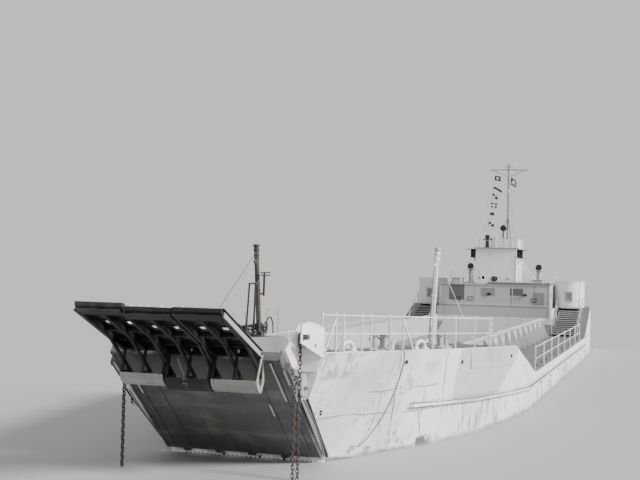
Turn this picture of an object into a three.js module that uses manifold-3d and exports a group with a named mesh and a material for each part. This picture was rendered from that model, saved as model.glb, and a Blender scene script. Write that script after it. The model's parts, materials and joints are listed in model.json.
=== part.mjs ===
// Tank landing craft with its bow door and hinged door extension, a model at 1:2.
// The craft is drawn in metres at full size; the last group turns that into model millimetres.
// +X points to the bow, +Y to port and +Z up. The origin is on the flat bottom, amidships.
import * as THREE from 'three';
import { mergeVertices } from 'three/addons/utils/BufferGeometryUtils.js';
import Module from 'manifold-3d';

const wasm = await Module();
wasm.setup();

// Driving dimensions in metres of the full-size craft
const modelMillimetres = 500; // of the model for each metre of the craft
const gap = 0.0008; // between pieces that touch
const waterline = 1.15; // height of the light waterline over the flat bottom
const halfBeam = 5.905;
const transomX = -28.535;
const footX = 24.785; // foot of the bow door, and its hinge
const footZ = waterline + 0.14;
const tankDeckZ = waterline + 0.2;
const pivotX = footX + 0.14; // the bow door's hinge
const pivotZ = footZ;
const sideDeckZ = waterline + 1.25; // low side decks amidships
const houseX = -19.8; // front of the deckhouse, and end of the well
const houseEndX = -26.2;
const houseHalf = 3.5;
const poopDeckZ = waterline + 2.9;
const poopFootX = -17.8; // where the sides start to rise to the poop deck
const poopTopX = -22.8;
const houseFloorZ = waterline + 2.3;
const houseTopZ = waterline + 4.4;
const wellHalf = 3.25;
const doorHalf = 2.22;
const doorAngle = 38.3; // degrees over level, shut
const doorThickness = 0.2;
const extensionHalf = 1.77;
const extensionLength = 2.9;
const extensionAngle = 22.7; // degrees over level
const bowSideGap = 0.08; // between the door's edge and the bow's inner sides
const bowFrontX = 27.25; // front ends of the raised bow wings
const wallThick = 0.1;

const paint = {
  offWhite: { color: 0xdedcd4, roughness: 0.6, metalness: 0 },
  paleGrey: { color: 0xb9bbb8, roughness: 0.62, metalness: 0 },
  deckGrey: { color: 0x6a6c6a, roughness: 0.75, metalness: 0 },
  doorGrey: { color: 0x5b5c5b, roughness: 0.7, metalness: 0 },
  black: { color: 0x232323, roughness: 0.6, metalness: 0 },
  steel: { color: 0x77756f, roughness: 0.5, metalness: 0.7 },
  bronze: { color: 0x9a7b45, roughness: 0.4, metalness: 0.9 },
  rope: { color: 0x8a8378, roughness: 0.95, metalness: 0 }
};

const craft = new THREE.Group();
craft.scale.setScalar(modelMillimetres);

function addPiece(name, geometry, finish) {
  const mesh = new THREE.Mesh(geometry, new THREE.MeshStandardMaterial(paint[finish]));
  mesh.name = name;
  craft.add(mesh);
  return mesh;
}

// Solids and their joins
function toSolid(geometry) {
  const bare = new THREE.BufferGeometry();
  bare.setAttribute('position', geometry.getAttribute('position').clone());
  if (geometry.index) bare.setIndex(geometry.index.clone());
  const merged = mergeVertices(bare, 1e-5);
  const vertProperties = new Float32Array(merged.getAttribute('position').array);
  const triVerts = new Uint32Array(merged.index.array);
  return new wasm.Manifold(new wasm.Mesh({ numProp: 3, vertProperties, triVerts }));
}

function toGeometry(body) {
  const mesh = body.getMesh();
  const geometry = new THREE.BufferGeometry();
  geometry.setAttribute('position', new THREE.BufferAttribute(new Float32Array(mesh.vertProperties), 3));
  geometry.setIndex(new THREE.BufferAttribute(new Uint32Array(mesh.triVerts), 1));
  return geometry;
}

function joined(...geometries) {
  let body = toSolid(geometries[0]);
  for (const geometry of geometries.slice(1)) body = body.add(toSolid(geometry));
  return toGeometry(body);
}

function cut(geometry, ...tools) {
  let body = toSolid(geometry);
  for (const tool of tools) body = body.subtract(toSolid(tool));
  return toGeometry(body);
}

// Everything of a piece above a level deck
function aboveDeck(geometry, z) {
  return cut(geometry, box([-40, -10, z - 2], [40, 10, z + gap]));
}

// A closed skin over rings of points, each ring a convex section with the same number of points
function loft(rings) {
  const count = rings[0].length;
  const positions = rings.flat(2);
  const faces = [];
  for (let ring = 0; ring + 1 < rings.length; ring += 1) {
    for (let side = 0; side < count; side += 1) {
      const a = ring * count + side;
      const b = ring * count + (side + 1) % count;
      faces.push(a, b, b + count, a, b + count, a + count);
    }
  }
  const last = (rings.length - 1) * count;
  for (let side = 1; side + 1 < count; side += 1) {
    faces.push(0, side + 1, side);
    faces.push(last, last + side, last + side + 1);
  }
  return facedOut(positions, faces);
}

function facedOut(positions, faces) {
  const corner = (index) => new THREE.Vector3().fromArray(positions, index * 3);
  let volume = 0;
  for (let face = 0; face < faces.length; face += 3) {
    const [a, b, c] = faces.slice(face, face + 3).map(corner);
    volume += a.dot(b.cross(c));
  }
  if (volume < 0) faces.reverse();
  const geometry = new THREE.BufferGeometry();
  geometry.setAttribute('position', new THREE.Float32BufferAttribute(positions, 3));
  geometry.setIndex(faces);
  return geometry;
}

// A box from its low corner to its high corner
function box(low, high) {
  const size = high.map((value, axis) => value - low[axis]);
  const middle = high.map((value, axis) => (value + low[axis]) / 2);
  return new THREE.BoxGeometry(...size).translate(...middle);
}

// A square bar between two points; its width lies along the level, its depth across that
function bar(from, to, width, depth = width) {
  const start = new THREE.Vector3(...from);
  const run = new THREE.Vector3(...to).sub(start);
  const geometry = new THREE.BoxGeometry(run.length(), width, depth);
  geometry.translate(run.length() / 2, 0, 0);
  const along = run.clone().normalize();
  const upright = Math.abs(along.z) > 0.999;
  const side = upright ? new THREE.Vector3(0, 1, 0) : new THREE.Vector3(0, 0, 1).cross(along).normalize();
  const over = along.clone().cross(side);
  geometry.applyMatrix4(new THREE.Matrix4().makeBasis(along, side, over));
  return geometry.translate(start.x, start.y, start.z);
}

// A round bar between two points
function rod(from, to, radius, sides = 8) {
  const start = new THREE.Vector3(...from);
  const run = new THREE.Vector3(...to).sub(start);
  const geometry = new THREE.CylinderGeometry(radius, radius, run.length(), sides);
  geometry.translate(0, run.length() / 2, 0);
  const turn = new THREE.Quaternion().setFromUnitVectors(new THREE.Vector3(0, 1, 0), run.normalize());
  return geometry.applyQuaternion(turn).translate(start.x, start.y, start.z);
}

// An outline in the X-Z plane, given thickness from y to y + width
function sidePlate(outline, y, width) {
  const shape = new THREE.Shape(outline.map(([x, z]) => new THREE.Vector2(x, z)));
  const geometry = new THREE.ExtrudeGeometry(shape, { depth: width, bevelEnabled: false });
  return geometry.rotateX(Math.PI / 2).translate(0, y + width, 0);
}

const mirrored = (geometry, side) => {
  if (side > 0) return geometry;
  const flipped = geometry.clone().scale(1, -1, 1);
  const count = flipped.getAttribute('position').count;
  const order = flipped.index ? Array.from(flipped.index.array) : [...Array(count).keys()];
  flipped.setIndex(order.reverse());
  return flipped;
};

const sides = [['port', 1], ['stbd', -1]];

// Half-breadths of the hull, aft from the door's foot
const hullStations = [
  // x, half-breadth at the waterline, half-breadth at the deck, bottom height
  { x: footX, water: 2.32, deck: 3.7, keel: waterline - 0.15 },
  { x: 22.4, water: 3.3, deck: 4.2, keel: 0.68 },
  { x: 20.0, water: 4.3, deck: 4.75, keel: 0.24 },
  { x: 17.6, water: 4.95, deck: 5.25, keel: 0 },
  { x: 13.6, water: 5.6, deck: 5.82, keel: 0 },
  { x: 10.6, water: 5.88, deck: halfBeam, keel: 0 },
  { x: 8.4, water: halfBeam, deck: halfBeam, keel: 0 }
];

const sternStations = [
  // x, half-breadth, bottom height
  { x: -20.5, half: halfBeam, keel: 0 },
  { x: -24.4, half: 5.8, keel: 1.22 },
  { x: transomX, half: 5.45, keel: 1.26 }
];

// The flat bottom with its raked bow and its raised stern
function hullBottom() {
  const bilge = 0.3;
  const section = (x, half, keel) => {
    const chine = Math.min(keel + bilge, tankDeckZ - 0.05);
    return [
      [x, -half, tankDeckZ], [x, -half, chine], [x, -half + bilge, keel],
      [x, half - bilge, keel], [x, half, chine], [x, half, tankDeckZ]
    ];
  };
  const rings = hullStations.map(({ x, water, keel }) => section(x, water, keel));
  for (const { x, half, keel } of sternStations) rings.push(section(x, half, keel));
  return loft(rings);
}
addPiece('hull_bottom', hullBottom(), 'offWhite');

// The raised wings beside the well at the bow, with their sheer and sloped shoulder
const foreDeckZ = (x) => waterline + 3 + 0.036 * (x - footX);
const foreWellHalf = 2.8;
const shoulderTopX = 13.6;
const shoulderFootX = 8.4;
const wellAt = (x) => {
  const { mapLinear } = THREE.MathUtils;
  if (x < shoulderTopX) return mapLinear(x, shoulderTopX, shoulderFootX, foreWellHalf, wellHalf);
  return Math.min(foreWellHalf, doorHalf + bowSideGap + Math.max(0, footX - x) * 0.1);
};
const wingTopZ = (x) => {
  const down = Math.max(0, (shoulderTopX - x) / (shoulderTopX - shoulderFootX));
  return foreDeckZ(Math.max(x, shoulderTopX)) * (1 - down) + sideDeckZ * down;
};

// Half-breadths of the upright front faces, at their foot and at the deck
const bowFront = { below: 2.49, above: 2.87 };
const doorSlope = Math.tan(THREE.MathUtils.degToRad(doorAngle));

function bowWing() {
  const low = tankDeckZ + gap;
  const { below, above } = bowFront;
  const inner = wellAt(bowFrontX);
  const foot = pivotZ + (bowFrontX - pivotX) * doorSlope - 0.05;
  const deck = foreDeckZ(bowFrontX);
  const front = [[inner, foot], [below, foot], [above, deck], [inner, deck]];
  const rings = [front.map(([y, z]) => [bowFrontX, y, z])];
  for (const { x, water, deck: deckHalf } of hullStations) {
    const top = wingTopZ(x);
    const side = wellAt(x);
    rings.push([[x, side, low], [x, water, low], [x, deckHalf, top], [x, side, top]]);
  }
  return loft(rings);
}

// A low post on the deck's edge, and an eye at the waterline, for the rope over the side
const ropePost = { x: 23.62, y: 3.714, radius: 0.07, high: 0.26 };
const ropeEye = { x: 24, y: 2.71, z: waterline + 0.3 };
function bowWingFitted() {
  const { x, y, radius, high } = ropePost;
  const deck = foreDeckZ(x);
  const post = rod([x, y, deck - 0.05], [x, y, deck + high], radius, 12);
  const cap = rod([x, y, deck + high - 0.02], [x, y, deck + high + 0.03], radius + 0.03, 12);
  const eye = box(
    [ropeEye.x - 0.04, ropeEye.y - 0.25, ropeEye.z - 0.06],
    [ropeEye.x + 0.04, ropeEye.y + 0.14, ropeEye.z + 0.06]
  );
  return joined(bowWing(), post, cap, eye);
}
for (const [name, side] of sides) addPiece(`bow_wing_${name}`, mirrored(bowWingFitted(), side), 'offWhite');

// The low side decks beside the well
for (const [name, side] of sides) {
  const wing = box([poopFootX + gap, wellHalf, tankDeckZ + gap], [shoulderFootX - gap, halfBeam, sideDeckZ]);
  addPiece(`side_wing_${name}`, mirrored(wing, side), 'offWhite');
}

// The stern: sides that rise to the poop deck, and the sunk floor of the deckhouse
const sternRise = (x) => THREE.MathUtils.mapLinear(x, poopFootX, poopTopX, sideDeckZ, poopDeckZ);

function sternBlock() {
  const low = tankDeckZ + gap;
  const profile = [
    // x, half-breadth, top height
    { x: poopFootX - gap, half: halfBeam, top: sideDeckZ },
    { x: poopTopX, half: 5.85, top: poopDeckZ },
    { x: transomX, half: 5.45, top: poopDeckZ }
  ];
  const rings = profile.map(({ x, half, top }) => [
    [x, -half, low], [x, half, low], [x, half, top], [x, -half, top]
  ]);
  const middle = box([poopTopX - 1, -houseHalf - 0.15, low], [houseX, houseHalf + 0.15, poopDeckZ]);
  const well = box([houseX, -wellHalf, 0], [poopFootX + 1, wellHalf, poopDeckZ + 1]);
  const pocket = box(
    [houseEndX - gap, -houseHalf - gap, houseFloorZ],
    [houseX + 1, houseHalf + gap, poopDeckZ + 1]
  );
  return cut(joined(loft(rings), middle), well, pocket);
}
addPiece('stern_block', sternBlock(), 'offWhite');

// The well's coamings, standing on the side decks, with brackets outboard
const coamingTopZ = waterline + 2.35;
const coamingFrontX = shoulderFootX + (shoulderTopX - shoulderFootX)
  * (coamingTopZ - sideDeckZ) / (foreDeckZ(shoulderTopX) - sideDeckZ);

function coaming() {
  const foot = sideDeckZ + gap;
  const wall = sidePlate([
    [poopFootX + gap, foot], [shoulderFootX, foot],
    [coamingFrontX - 0.03, coamingTopZ], [poopFootX + gap, coamingTopZ]
  ], wellHalf, 0.06);
  const flange = box(
    [poopFootX + gap, wellHalf, coamingTopZ - 0.06],
    [coamingFrontX - 0.4, wellHalf + 0.2, coamingTopZ]
  );
  const parts = [wall, flange];
  for (let x = poopFootX + 1; x < shoulderFootX; x += 2.2) {
    const outline = [
      [wellHalf, foot], [wellHalf + 0.55, foot],
      [wellHalf + 0.12, coamingTopZ - 0.03], [wellHalf, coamingTopZ - 0.03]
    ];
    parts.push(sidePlate(outline, 0, 0.05).rotateZ(Math.PI / 2).translate(x, 0, 0));
  }
  return joined(...parts);
}
for (const [name, side] of sides) addPiece(`well_coaming_${name}`, mirrored(coaming(), side), 'paleGrey');

// Rubbing strakes along the sides: an upper one that follows the shoulder down, and a lower one aft
const sideHalfAt = (x, z) => {
  const stations = hullStations;
  for (let index = 0; index + 1 < stations.length; index += 1) {
    const fore = stations[index];
    const aft = stations[index + 1];
    if (x <= fore.x && x >= aft.x) {
      const part = (fore.x - x) / (fore.x - aft.x);
      const water = THREE.MathUtils.lerp(fore.water, aft.water, part);
      const deck = THREE.MathUtils.lerp(fore.deck, aft.deck, part);
      const top = wingTopZ(x);
      const rise = THREE.MathUtils.clamp((z - tankDeckZ) / (top - tankDeckZ), 0, 1);
      return THREE.MathUtils.lerp(water, deck, rise);
    }
  }
  return halfBeam;
};

function strake() {
  const points = [
    // x, height over the waterline
    { x: 21.83, h: 1.29 },
    { x: 20, h: 1.22 },
    { x: 17.6, h: 1.12 },
    { x: 13.6, h: 0.98 },
    { x: 10.6, h: 0.86 },
    { x: 8.4, h: 0.85 },
    { x: poopFootX + gap, h: 0.84 }
  ];
  const deep = 0.14;
  const proud = 0.1;
  const rings = points.map(({ x, h }) => {
    const low = waterline + h - deep / 2;
    const high = waterline + h + deep / 2;
    const half = Math.max(sideHalfAt(x, low), sideHalfAt(x, high));
    const inner = half - 0.2;
    const outer = half + proud;
    return [[x, inner, low], [x, outer, low + 0.03], [x, outer, high - 0.03], [x, inner, high]];
  });
  const lowSide = box([poopFootX - 1, wellHalf, tankDeckZ], [shoulderFootX + 0.01, halfBeam, sideDeckZ]);
  const plating = joined(bowWing(), lowSide);
  return cut(loft(rings), plating.translate(0, gap, 0));
}
for (const [name, side] of sides) addPiece(`rubbing_strake_${name}`, mirrored(strake(), side), 'offWhite');

// The sill at the door's foot, with the fixed knuckles of its hinge
const knuckleRadius = 0.075;
const knuckleWide = 0.2;
const fixedKnuckles = [-1.9, -0.95, 0, 0.95, 1.9];

function bowSill() {
  const parts = [box([footX + gap, -doorHalf, 0.98], [footX + 0.06, doorHalf, pivotZ - 0.02])];
  for (const y of fixedKnuckles) {
    const [low, high] = [y - knuckleWide / 2, y + knuckleWide / 2];
    parts.push(rod([pivotX, low, pivotZ], [pivotX, high, pivotZ], knuckleRadius, 12));
    parts.push(box([footX + 0.03, low, pivotZ - 0.14], [pivotX, high, pivotZ - 0.02]));
  }
  return joined(...parts);
}
addPiece('bow_sill', bowSill(), 'offWhite');

// The bow door, drawn along its own length from the hinge and then raised to its angle
const doorEnd = 4.75;
const hingeOut = 4.83; // the extension's hinge, from the door's hinge
const extensionLugs = [-1.6, -0.78, -0.4, 0.4, 0.78, 1.6];
const lugHalf = 0.05;
const lugOut = 3.62; // the chain lugs on the door's edges
const lugY = doorHalf + 0.07;
const lugPin = 0.04;

const onDoor = (geometry) => geometry
  .rotateY(-THREE.MathUtils.degToRad(doorAngle))
  .translate(pivotX, 0, pivotZ);

function bowDoor() {
  const parts = [box([0.14, -doorHalf, -doorThickness / 2], [doorEnd, doorHalf, doorThickness / 2])];
  for (const fixed of fixedKnuckles.slice(0, -1)) {
    const y = fixed + knuckleWide + gap;
    parts.push(rod([0, y - knuckleWide / 2, 0], [0, y + knuckleWide / 2, 0], knuckleRadius, 12));
    parts.push(box([0, y - knuckleWide / 2, -0.05], [0.2, y + knuckleWide / 2, 0.05]));
  }
  for (const y of [-1.95, -1.45, 1.45, 1.95]) {
    parts.push(box([0.35, y - 0.03, -doorThickness / 2 - 0.04], [doorEnd - 0.1, y + 0.03, 0]));
  }
  for (const side of [-1, 1]) {
    parts.push(rod([lugOut, side * (doorHalf - 0.1), 0], [lugOut, side * (lugY + 0.06), 0], lugPin, 16));
    parts.push(rod([lugOut, side * (doorHalf - 0.1), 0], [lugOut, side * (lugY - 0.04), 0], 0.08, 16));
    parts.push(rod([lugOut, side * (lugY + 0.04), 0], [lugOut, side * (lugY + 0.07), 0], 0.06, 16));
    const [inner, outer] = [side * (doorHalf - 0.02), side * (lugY + 0.06)].sort((a, b) => a - b);
    parts.push(box([lugOut + 0.11, inner, -0.16], [lugOut + 0.75, outer, 0.06]));
  }
  for (const y of extensionLugs) {
    parts.push(box([doorEnd - 0.1, y - lugHalf, -0.05], [hingeOut, y + lugHalf, 0.05]));
    parts.push(rod([hingeOut, y - lugHalf, 0], [hingeOut, y + lugHalf, 0], 0.06, 12));
  }
  return onDoor(joined(...parts));
}
addPiece('bow_ramp', bowDoor(), 'doorGrey');

// The door extension: three bays of slotted roadway, each with a crossed heel that hangs from the hinge
const tipX = pivotX + hingeOut * Math.cos(THREE.MathUtils.degToRad(doorAngle));
const tipZ = pivotZ + hingeOut * Math.sin(THREE.MathUtils.degToRad(doorAngle));
const bayGap = 0.03;
const bayWide = (2 * extensionHalf - 2 * bayGap) / 3;
const bays = [
  // name, starboard edge, height over the level of the others
  { name: 'stbd', y: -extensionHalf, lift: 0.06 },
  { name: 'middle', y: -bayWide / 2, lift: -0.01 },
  { name: 'port', y: extensionHalf - bayWide, lift: 0.01 }
];
const onExtension = (geometry) => geometry.rotateY(-THREE.MathUtils.degToRad(extensionAngle));
const roadStart = 0.1; // from the hinge, along the roadway
const beamWide = 0.05;
const beamDepth = 0.17;
const roadSlots = { rows: [0.94, 1.46], columns: [0.16, 0.71], long: 0.28, wide: 0.29 };
const roadThick = 0.025;
const knuckleOut = 0.08;

// The line of a bay's beam: flat along the top, rounded under at the nose
function beamOutline(depth) {
  const end = extensionLength;
  return [
    [roadStart, 0.03], [end - 0.05, 0.03], [end, 0], [end - 0.03, -depth * 0.45], [end - 0.11, -depth * 0.8],
    [end - 0.23, -depth], [roadStart, -depth]
  ];
}

function roadFrame(y) {
  const parts = [];
  for (const part of [0, 0.5, 1]) {
    parts.push(sidePlate(beamOutline(beamDepth), y + part * (bayWide - beamWide), beamWide));
  }
  const nose = cut(
    sidePlate(beamOutline(beamDepth), y, bayWide),
    box([0, y - 1, -1], [extensionLength - 0.3, y + 3, 1]),
    sidePlate(beamOutline(beamDepth).map(([x, z]) => [x - 0.05, z - 0.05]), y - 1, bayWide + 2)
  );
  const road = box([roadStart, y, 0.03 - roadThick], [extensionLength - 0.06, y + bayWide, 0.03]);
  const slots = [];
  for (const row of roadSlots.rows) {
    for (const column of roadSlots.columns) {
      const left = y + column;
      slots.push(box([row, left, -beamDepth], [row + roadSlots.long, left + roadSlots.wide, beamDepth]));
    }
  }
  const rearBeam = box([roadStart, y, -beamDepth], [roadStart + 0.06, y + bayWide, 0.02]);
  const crossBeam = box([1.3, y, -beamDepth * 0.7], [1.36, y + bayWide, 0.02]);
  return onExtension(joined(...parts, nose, rearBeam, crossBeam, cut(road, ...slots)));
}

// Crossed legs under each beam and the curved toe that they carry, from the hinge
function heel(y) {
  const parts = [];
  const legs = [
    // head and foot of a leg
    { head: [0.98, 0.24], foot: [-0.17, -0.66] },
    { head: [0.13, -0.09], foot: [0.33, -0.66] }
  ];
  const inset = 0.03;
  for (const part of [0, 0.5, 1]) {
    const middle = y + inset + part * (bayWide - 2 * inset);
    for (const { head, foot } of legs) {
      parts.push(bar([head[0], middle, head[1]], [foot[0], middle, foot[1]], 0.06, 0.07));
    }
  }
  const toe = [[0.375, -0.64], [0.35, -0.76], [0.25, -0.88], [0.08, -0.955], [0, -0.93]];
  const toeInside = [[0.02, -0.9], [0.09, -0.915], [0.23, -0.845], [0.31, -0.74], [0.335, -0.64]];
  parts.push(sidePlate([...toe, ...toeInside], y, bayWide));
  for (const side of [y, y + bayWide / 2 - 0.03, y + bayWide - 0.06]) {
    parts.push(sidePlate([...toe, [-0.2, -0.66], [-0.18, -0.61], [0.36, -0.61]], side, 0.06));
  }
  return joined(...parts);
}

function extensionBay(y, lift) {
  const knuckles = [];
  for (const lug of extensionLugs.filter((place) => place > y && place < y + bayWide)) {
    const left = lug + lugHalf + gap;
    knuckles.push(rod([0, left, 0], [0, left + knuckleOut, 0], 0.06, 12));
    const middle = left + knuckleOut / 2;
    knuckles.push(bar([0, middle, 0], [0.13, middle, 0.02 + lift], knuckleOut, 0.08));
  }
  const raised = joined(roadFrame(y), heel(y)).translate(0, 0, lift);
  return joined(raised, ...knuckles).translate(tipX, 0, tipZ);
}
for (const { name, y, lift } of bays) addPiece(`extension_bay_${name}`, extensionBay(y, lift), 'black');

// Chains: one strand hangs from each of the door's lugs, one from each horn's sheave
const link = { halfLong: 0.135, halfWide: 0.045, thick: 0.03, pitch: 0.21 };
const hornSheave = { x: 27.386, y: 2.36, z: waterline + 3.42, radius: 0.18 };
const strandEndZ = 0.5; // the last link starts over this height, under water
const lugX = pivotX + lugOut * Math.cos(THREE.MathUtils.degToRad(doorAngle));
const lugZ = pivotZ + lugOut * Math.sin(THREE.MathUtils.degToRad(doorAngle));

function chainLink() {
  const { halfLong, halfWide, thick } = link;
  const ring = (wide, long) => [
    [wide / 2, -long], [wide, -long * 0.6], [wide, long * 0.6], [wide / 2, long],
    [-wide / 2, long], [-wide, long * 0.6], [-wide, -long * 0.6], [-wide / 2, -long]
  ].map(([across, along]) => new THREE.Vector2(across, along));
  const shape = new THREE.Shape(ring(halfWide, halfLong));
  shape.holes.push(new THREE.Path(ring(halfWide - thick, halfLong - thick)));
  const geometry = new THREE.ExtrudeGeometry(shape, { depth: thick, bevelEnabled: false });
  return geometry.translate(0, 0, -thick / 2).rotateX(Math.PI / 2);
}

// A strand of links, every other one turned a quarter, from its upper end down into the water
function strand(x, y, topZ, firstTurn) {
  const links = [];
  for (let z = topZ - link.halfLong; z > strandEndZ; z -= link.pitch) {
    const turn = firstTurn + links.length * Math.PI / 2;
    links.push(chainLink().rotateZ(turn).translate(x, y, z));
  }
  return joined(...links);
}

function doorStrand() {
  const links = strand(lugX, lugY, lugZ - 0.05, 0);
  const eye = rod([lugX, lugY - 0.03, lugZ], [lugX, lugY + 0.03, lugZ], 0.085, 16);
  const bore = rod([lugX, lugY - 0.1, lugZ], [lugX, lugY + 0.1, lugZ], lugPin + 0.0022, 24);
  return cut(joined(links, eye), bore);
}
for (const [name, side] of sides) {
  addPiece(`door_chain_${name}`, mirrored(doorStrand(), side), 'steel');
}

// The horns at the bow's corners: two cheeks over the sheave that leads the chain.
// The outer cheek carries on the line of the hull's side, the inner one stands beside the door's edge.
const cheek = {
  thick: 0.04, foreX: 28.14, foreY: 2.566, topAft: 3.68, topFore: 3.81, lowFore: 3.39, lowAft: 3.0,
  slot: { from: 0.03, to: 0.32, low: 3.44, high: 3.58 }, oval: { out: 0.56, h: 3.3, radius: 0.055 }
};

function outerCheek() {
  const { thick, foreX, foreY, topAft, topFore, lowFore, lowAft, slot, oval } = cheek;
  const run = Math.hypot(foreX - bowFrontX, foreY - bowFront.above);
  const turn = Math.atan2(foreY - bowFront.above, foreX - bowFrontX);
  const start = 0.015; // its inner edge clears the hull's front face
  const plate = sidePlate([
    [start, topAft], [run * 0.35, topAft + 0.12], [run * 0.7, topFore + 0.05], [run, topFore],
    [run + 0.01, lowFore], [start + 0.06, lowAft], [start, lowAft]
  ], -thick, thick);
  const hole = box([run - slot.to, -1, slot.low], [run - slot.from, 1, slot.high]);
  const eye = rod([run - oval.out, -1, oval.h], [run - oval.out, 1, oval.h], oval.radius, 12);
  return cut(plate, hole, eye).rotateZ(turn).translate(bowFrontX, bowFront.above, waterline);
}

function horn() {
  const { x, y, z, radius } = hornSheave;
  const h = (value) => waterline + value;
  const innerY = doorHalf + 0.03;
  const front = bowFrontX + gap;
  const inner = sidePlate([
    [front, h(3.74)], [27.4, h(3.8)], [28.5, h(3.2)], [28.0, h(2.78)], [front, h(2.6)]
  ], innerY, cheek.thick);
  const backThick = 0.04;
  const back = sidePlate([
    [innerY, h(2.62)], [2.68, h(2.62)], [2.82, h(3.02)], [2.84, h(3.66)], [innerY, h(3.7)]
  ], -backThick, backThick).rotateZ(Math.PI / 2).translate(front, 0, 0);
  const sheave = rod([x, y - 0.055, z], [x, y + 0.055, z], radius, 16);
  const pin = rod([x, innerY + 0.01, z], [x, bowFront.above - 0.08, z], 0.05, 10);
  return joined(outerCheek(), inner, back, sheave, pin);
}
for (const [name, side] of sides) addPiece(`chain_horn_${name}`, mirrored(horn(), side), 'offWhite');

function hornStrand() {
  const { x, y, z, radius } = hornSheave;
  const chainHalf = 0.03;
  const middle = radius + chainHalf + 0.004;
  const turns = [0, 20, 40, 60, 80, 100].map(THREE.MathUtils.degToRad);
  const arc = (reach) => turns.map((turn) => [x + reach * Math.cos(turn), z + reach * Math.sin(turn)]);
  const outline = [...arc(middle + chainHalf), ...arc(middle - chainHalf).reverse()];
  const over = sidePlate(outline, y - chainHalf, 2 * chainHalf);
  return joined(over, strand(x + middle, y, z + 0.02, Math.PI / 2));
}
for (const [name, side] of sides) addPiece(`horn_chain_${name}`, mirrored(hornStrand(), side), 'steel');

// Kingposts on the fore deck
const kingpost = { x: 15.47, footY: 3.12, topY: 3.31, topZ: waterline + 5.91, radius: 0.09 };

function kingpostSolid(side) {
  const { x, footY, topY, topZ, radius } = kingpost;
  const deckZ = foreDeckZ(x);
  const parts = [
    rod([x, footY, deckZ], [x, topY, topZ], radius, 12),
    rod([x, footY, deckZ - 0.02], [x, footY, deckZ + 0.06], 0.22, 12),
    rod([x, topY - 0.002, topZ - 0.02], [x, topY, topZ + 0.06], radius + 0.03, 12)
  ];
  if (side < 0) {
    const [frameY, frameZ] = [3.1, waterline + 4.57];
    for (const out of [-0.3, 0.3]) {
      parts.push(bar([16.5 + out * 1.3, frameY, deckZ - 0.02], [16.33 + out, frameY, frameZ], 0.05));
    }
    parts.push(bar([15.5, footY + 0.07, frameZ], [16.65, frameY, frameZ], 0.06));
    parts.push(bar([15.47, footY + 0.05, waterline + 4.2], [15.42, 2.98, waterline + 4.2], 0.06));
    parts.push(bar([15.42, 3, waterline + 4.12], [15.4, 3, waterline + 4.95], 0.06));
    for (const up of [4.86, 4.96]) {
      parts.push(bar([14.8, 3, waterline + up], [15.75, 3, waterline + up], 0.045));
    }
  }
  return cut(joined(...parts), bowWing().translate(0, 0, gap));
}
for (const [name, side] of sides) addPiece(`kingpost_${name}`, mirrored(kingpostSolid(side), side), 'offWhite');

// Rails: stanchions with two or three wires, from a row of feet
function rail(feet, height, wires = [0.5, 1], thick = 0.05) {
  const parts = feet.map(([x, y, z]) => bar([x, y, z - 0.01], [x, y, z + height + thick / 2], thick));
  for (let index = 0; index + 1 < feet.length; index += 1) {
    const [from, to] = [feet[index], feet[index + 1]];
    for (const wire of wires) {
      const up = height * wire;
      parts.push(bar([from[0], from[1], from[2] + up], [to[0], to[1], to[2] + up], thick * 0.5));
    }
  }
  return joined(...parts);
}

const foreRailX = [27.17, 26.6, 26.27, 25.45, 25.03, 23.98, 23.13, 21.16, 19.5, 17.91, 16.18];
const foreRailBraces = [{ head: 26.6, foot: 27.08 }, { head: 23.13, foot: 22.45 }];
const foreRailPost = { x: 16.43, rungs: [0.2, 0.4, 0.6, 0.8] };
const foreRailFoot = (x) => {
  const ahead = Math.max(0, x - footX);
  return [x, sideHalfAt(x - ahead, 9) - 0.14 - ahead * 0.33, foreDeckZ(x)];
};
function foreRail() {
  const high = 0.95;
  const parts = [rail(foreRailX.map(foreRailFoot), high)];
  for (const { head, foot } of foreRailBraces) {
    const [x, y, z] = foreRailFoot(head);
    parts.push(bar([x, y, z + high * 0.9], foreRailFoot(foot), 0.045));
  }
  const { x, rungs } = foreRailPost;
  const [, y, z] = foreRailFoot(x);
  const [endX, endY, endZ] = foreRailFoot(foreRailX.at(-1));
  parts.push(bar([x, y, z - 0.01], [x, y, z + high], 0.05));
  for (const rung of rungs) {
    parts.push(bar([x, y, z + high * rung], [endX, endY, endZ + high * rung], 0.035));
  }
  return cut(joined(...parts), bowWing().translate(0, 0, gap));
}
for (const [name, side] of sides) addPiece(`fore_rail_${name}`, mirrored(foreRail(), side), 'offWhite');

const midRailX = [7.4, 4.2, 1, -2.2, -5.4, -8.6, -11.8, -15];
const midRailFeet = midRailX.map((x) => [x, halfBeam - 0.12, sideDeckZ]);
const sideRail = aboveDeck(rail(midRailFeet, 0.95), sideDeckZ);
for (const [name, side] of sides) addPiece(`side_rail_${name}`, mirrored(sideRail, side), 'offWhite');

// Two pairs of bitts on each side of the fore deck, along the flare of the deck's edge
const bittPairs = [{ x: 24.12, y: 3.46, turn: 0.24 }, { x: 19.75, y: 4.38, turn: 0.09 }];
const bittHead = 0.44; // over the deck
function bittPair({ x, y, turn }) {
  const deck = foreDeckZ(x);
  const parts = [box([-0.45, -0.16, gap - 0.02], [0.45, 0.16, 0.05])];
  for (const along of [-0.28, 0.28]) {
    parts.push(rod([along, 0, 0.02], [along, 0, bittHead], 0.1, 14));
    parts.push(rod([along, 0, bittHead - 0.03], [along, 0, bittHead], 0.12, 14));
    parts.push(rod([along - 0.2, 0, bittHead - 0.09], [along + 0.2, 0, bittHead - 0.09], 0.03, 8));
  }
  return joined(...parts).rotateZ(-turn).translate(x, y, deck);
}
for (const [name, side] of sides) {
  bittPairs.forEach((pair, index) => {
    const place = index ? 'aft' : 'fore';
    const geometry = cut(bittPair(pair), bowWing().translate(0, 0, gap));
    addPiece(`bitts_${place}_${name}`, mirrored(geometry, side), 'steel');
  });
}

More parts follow.
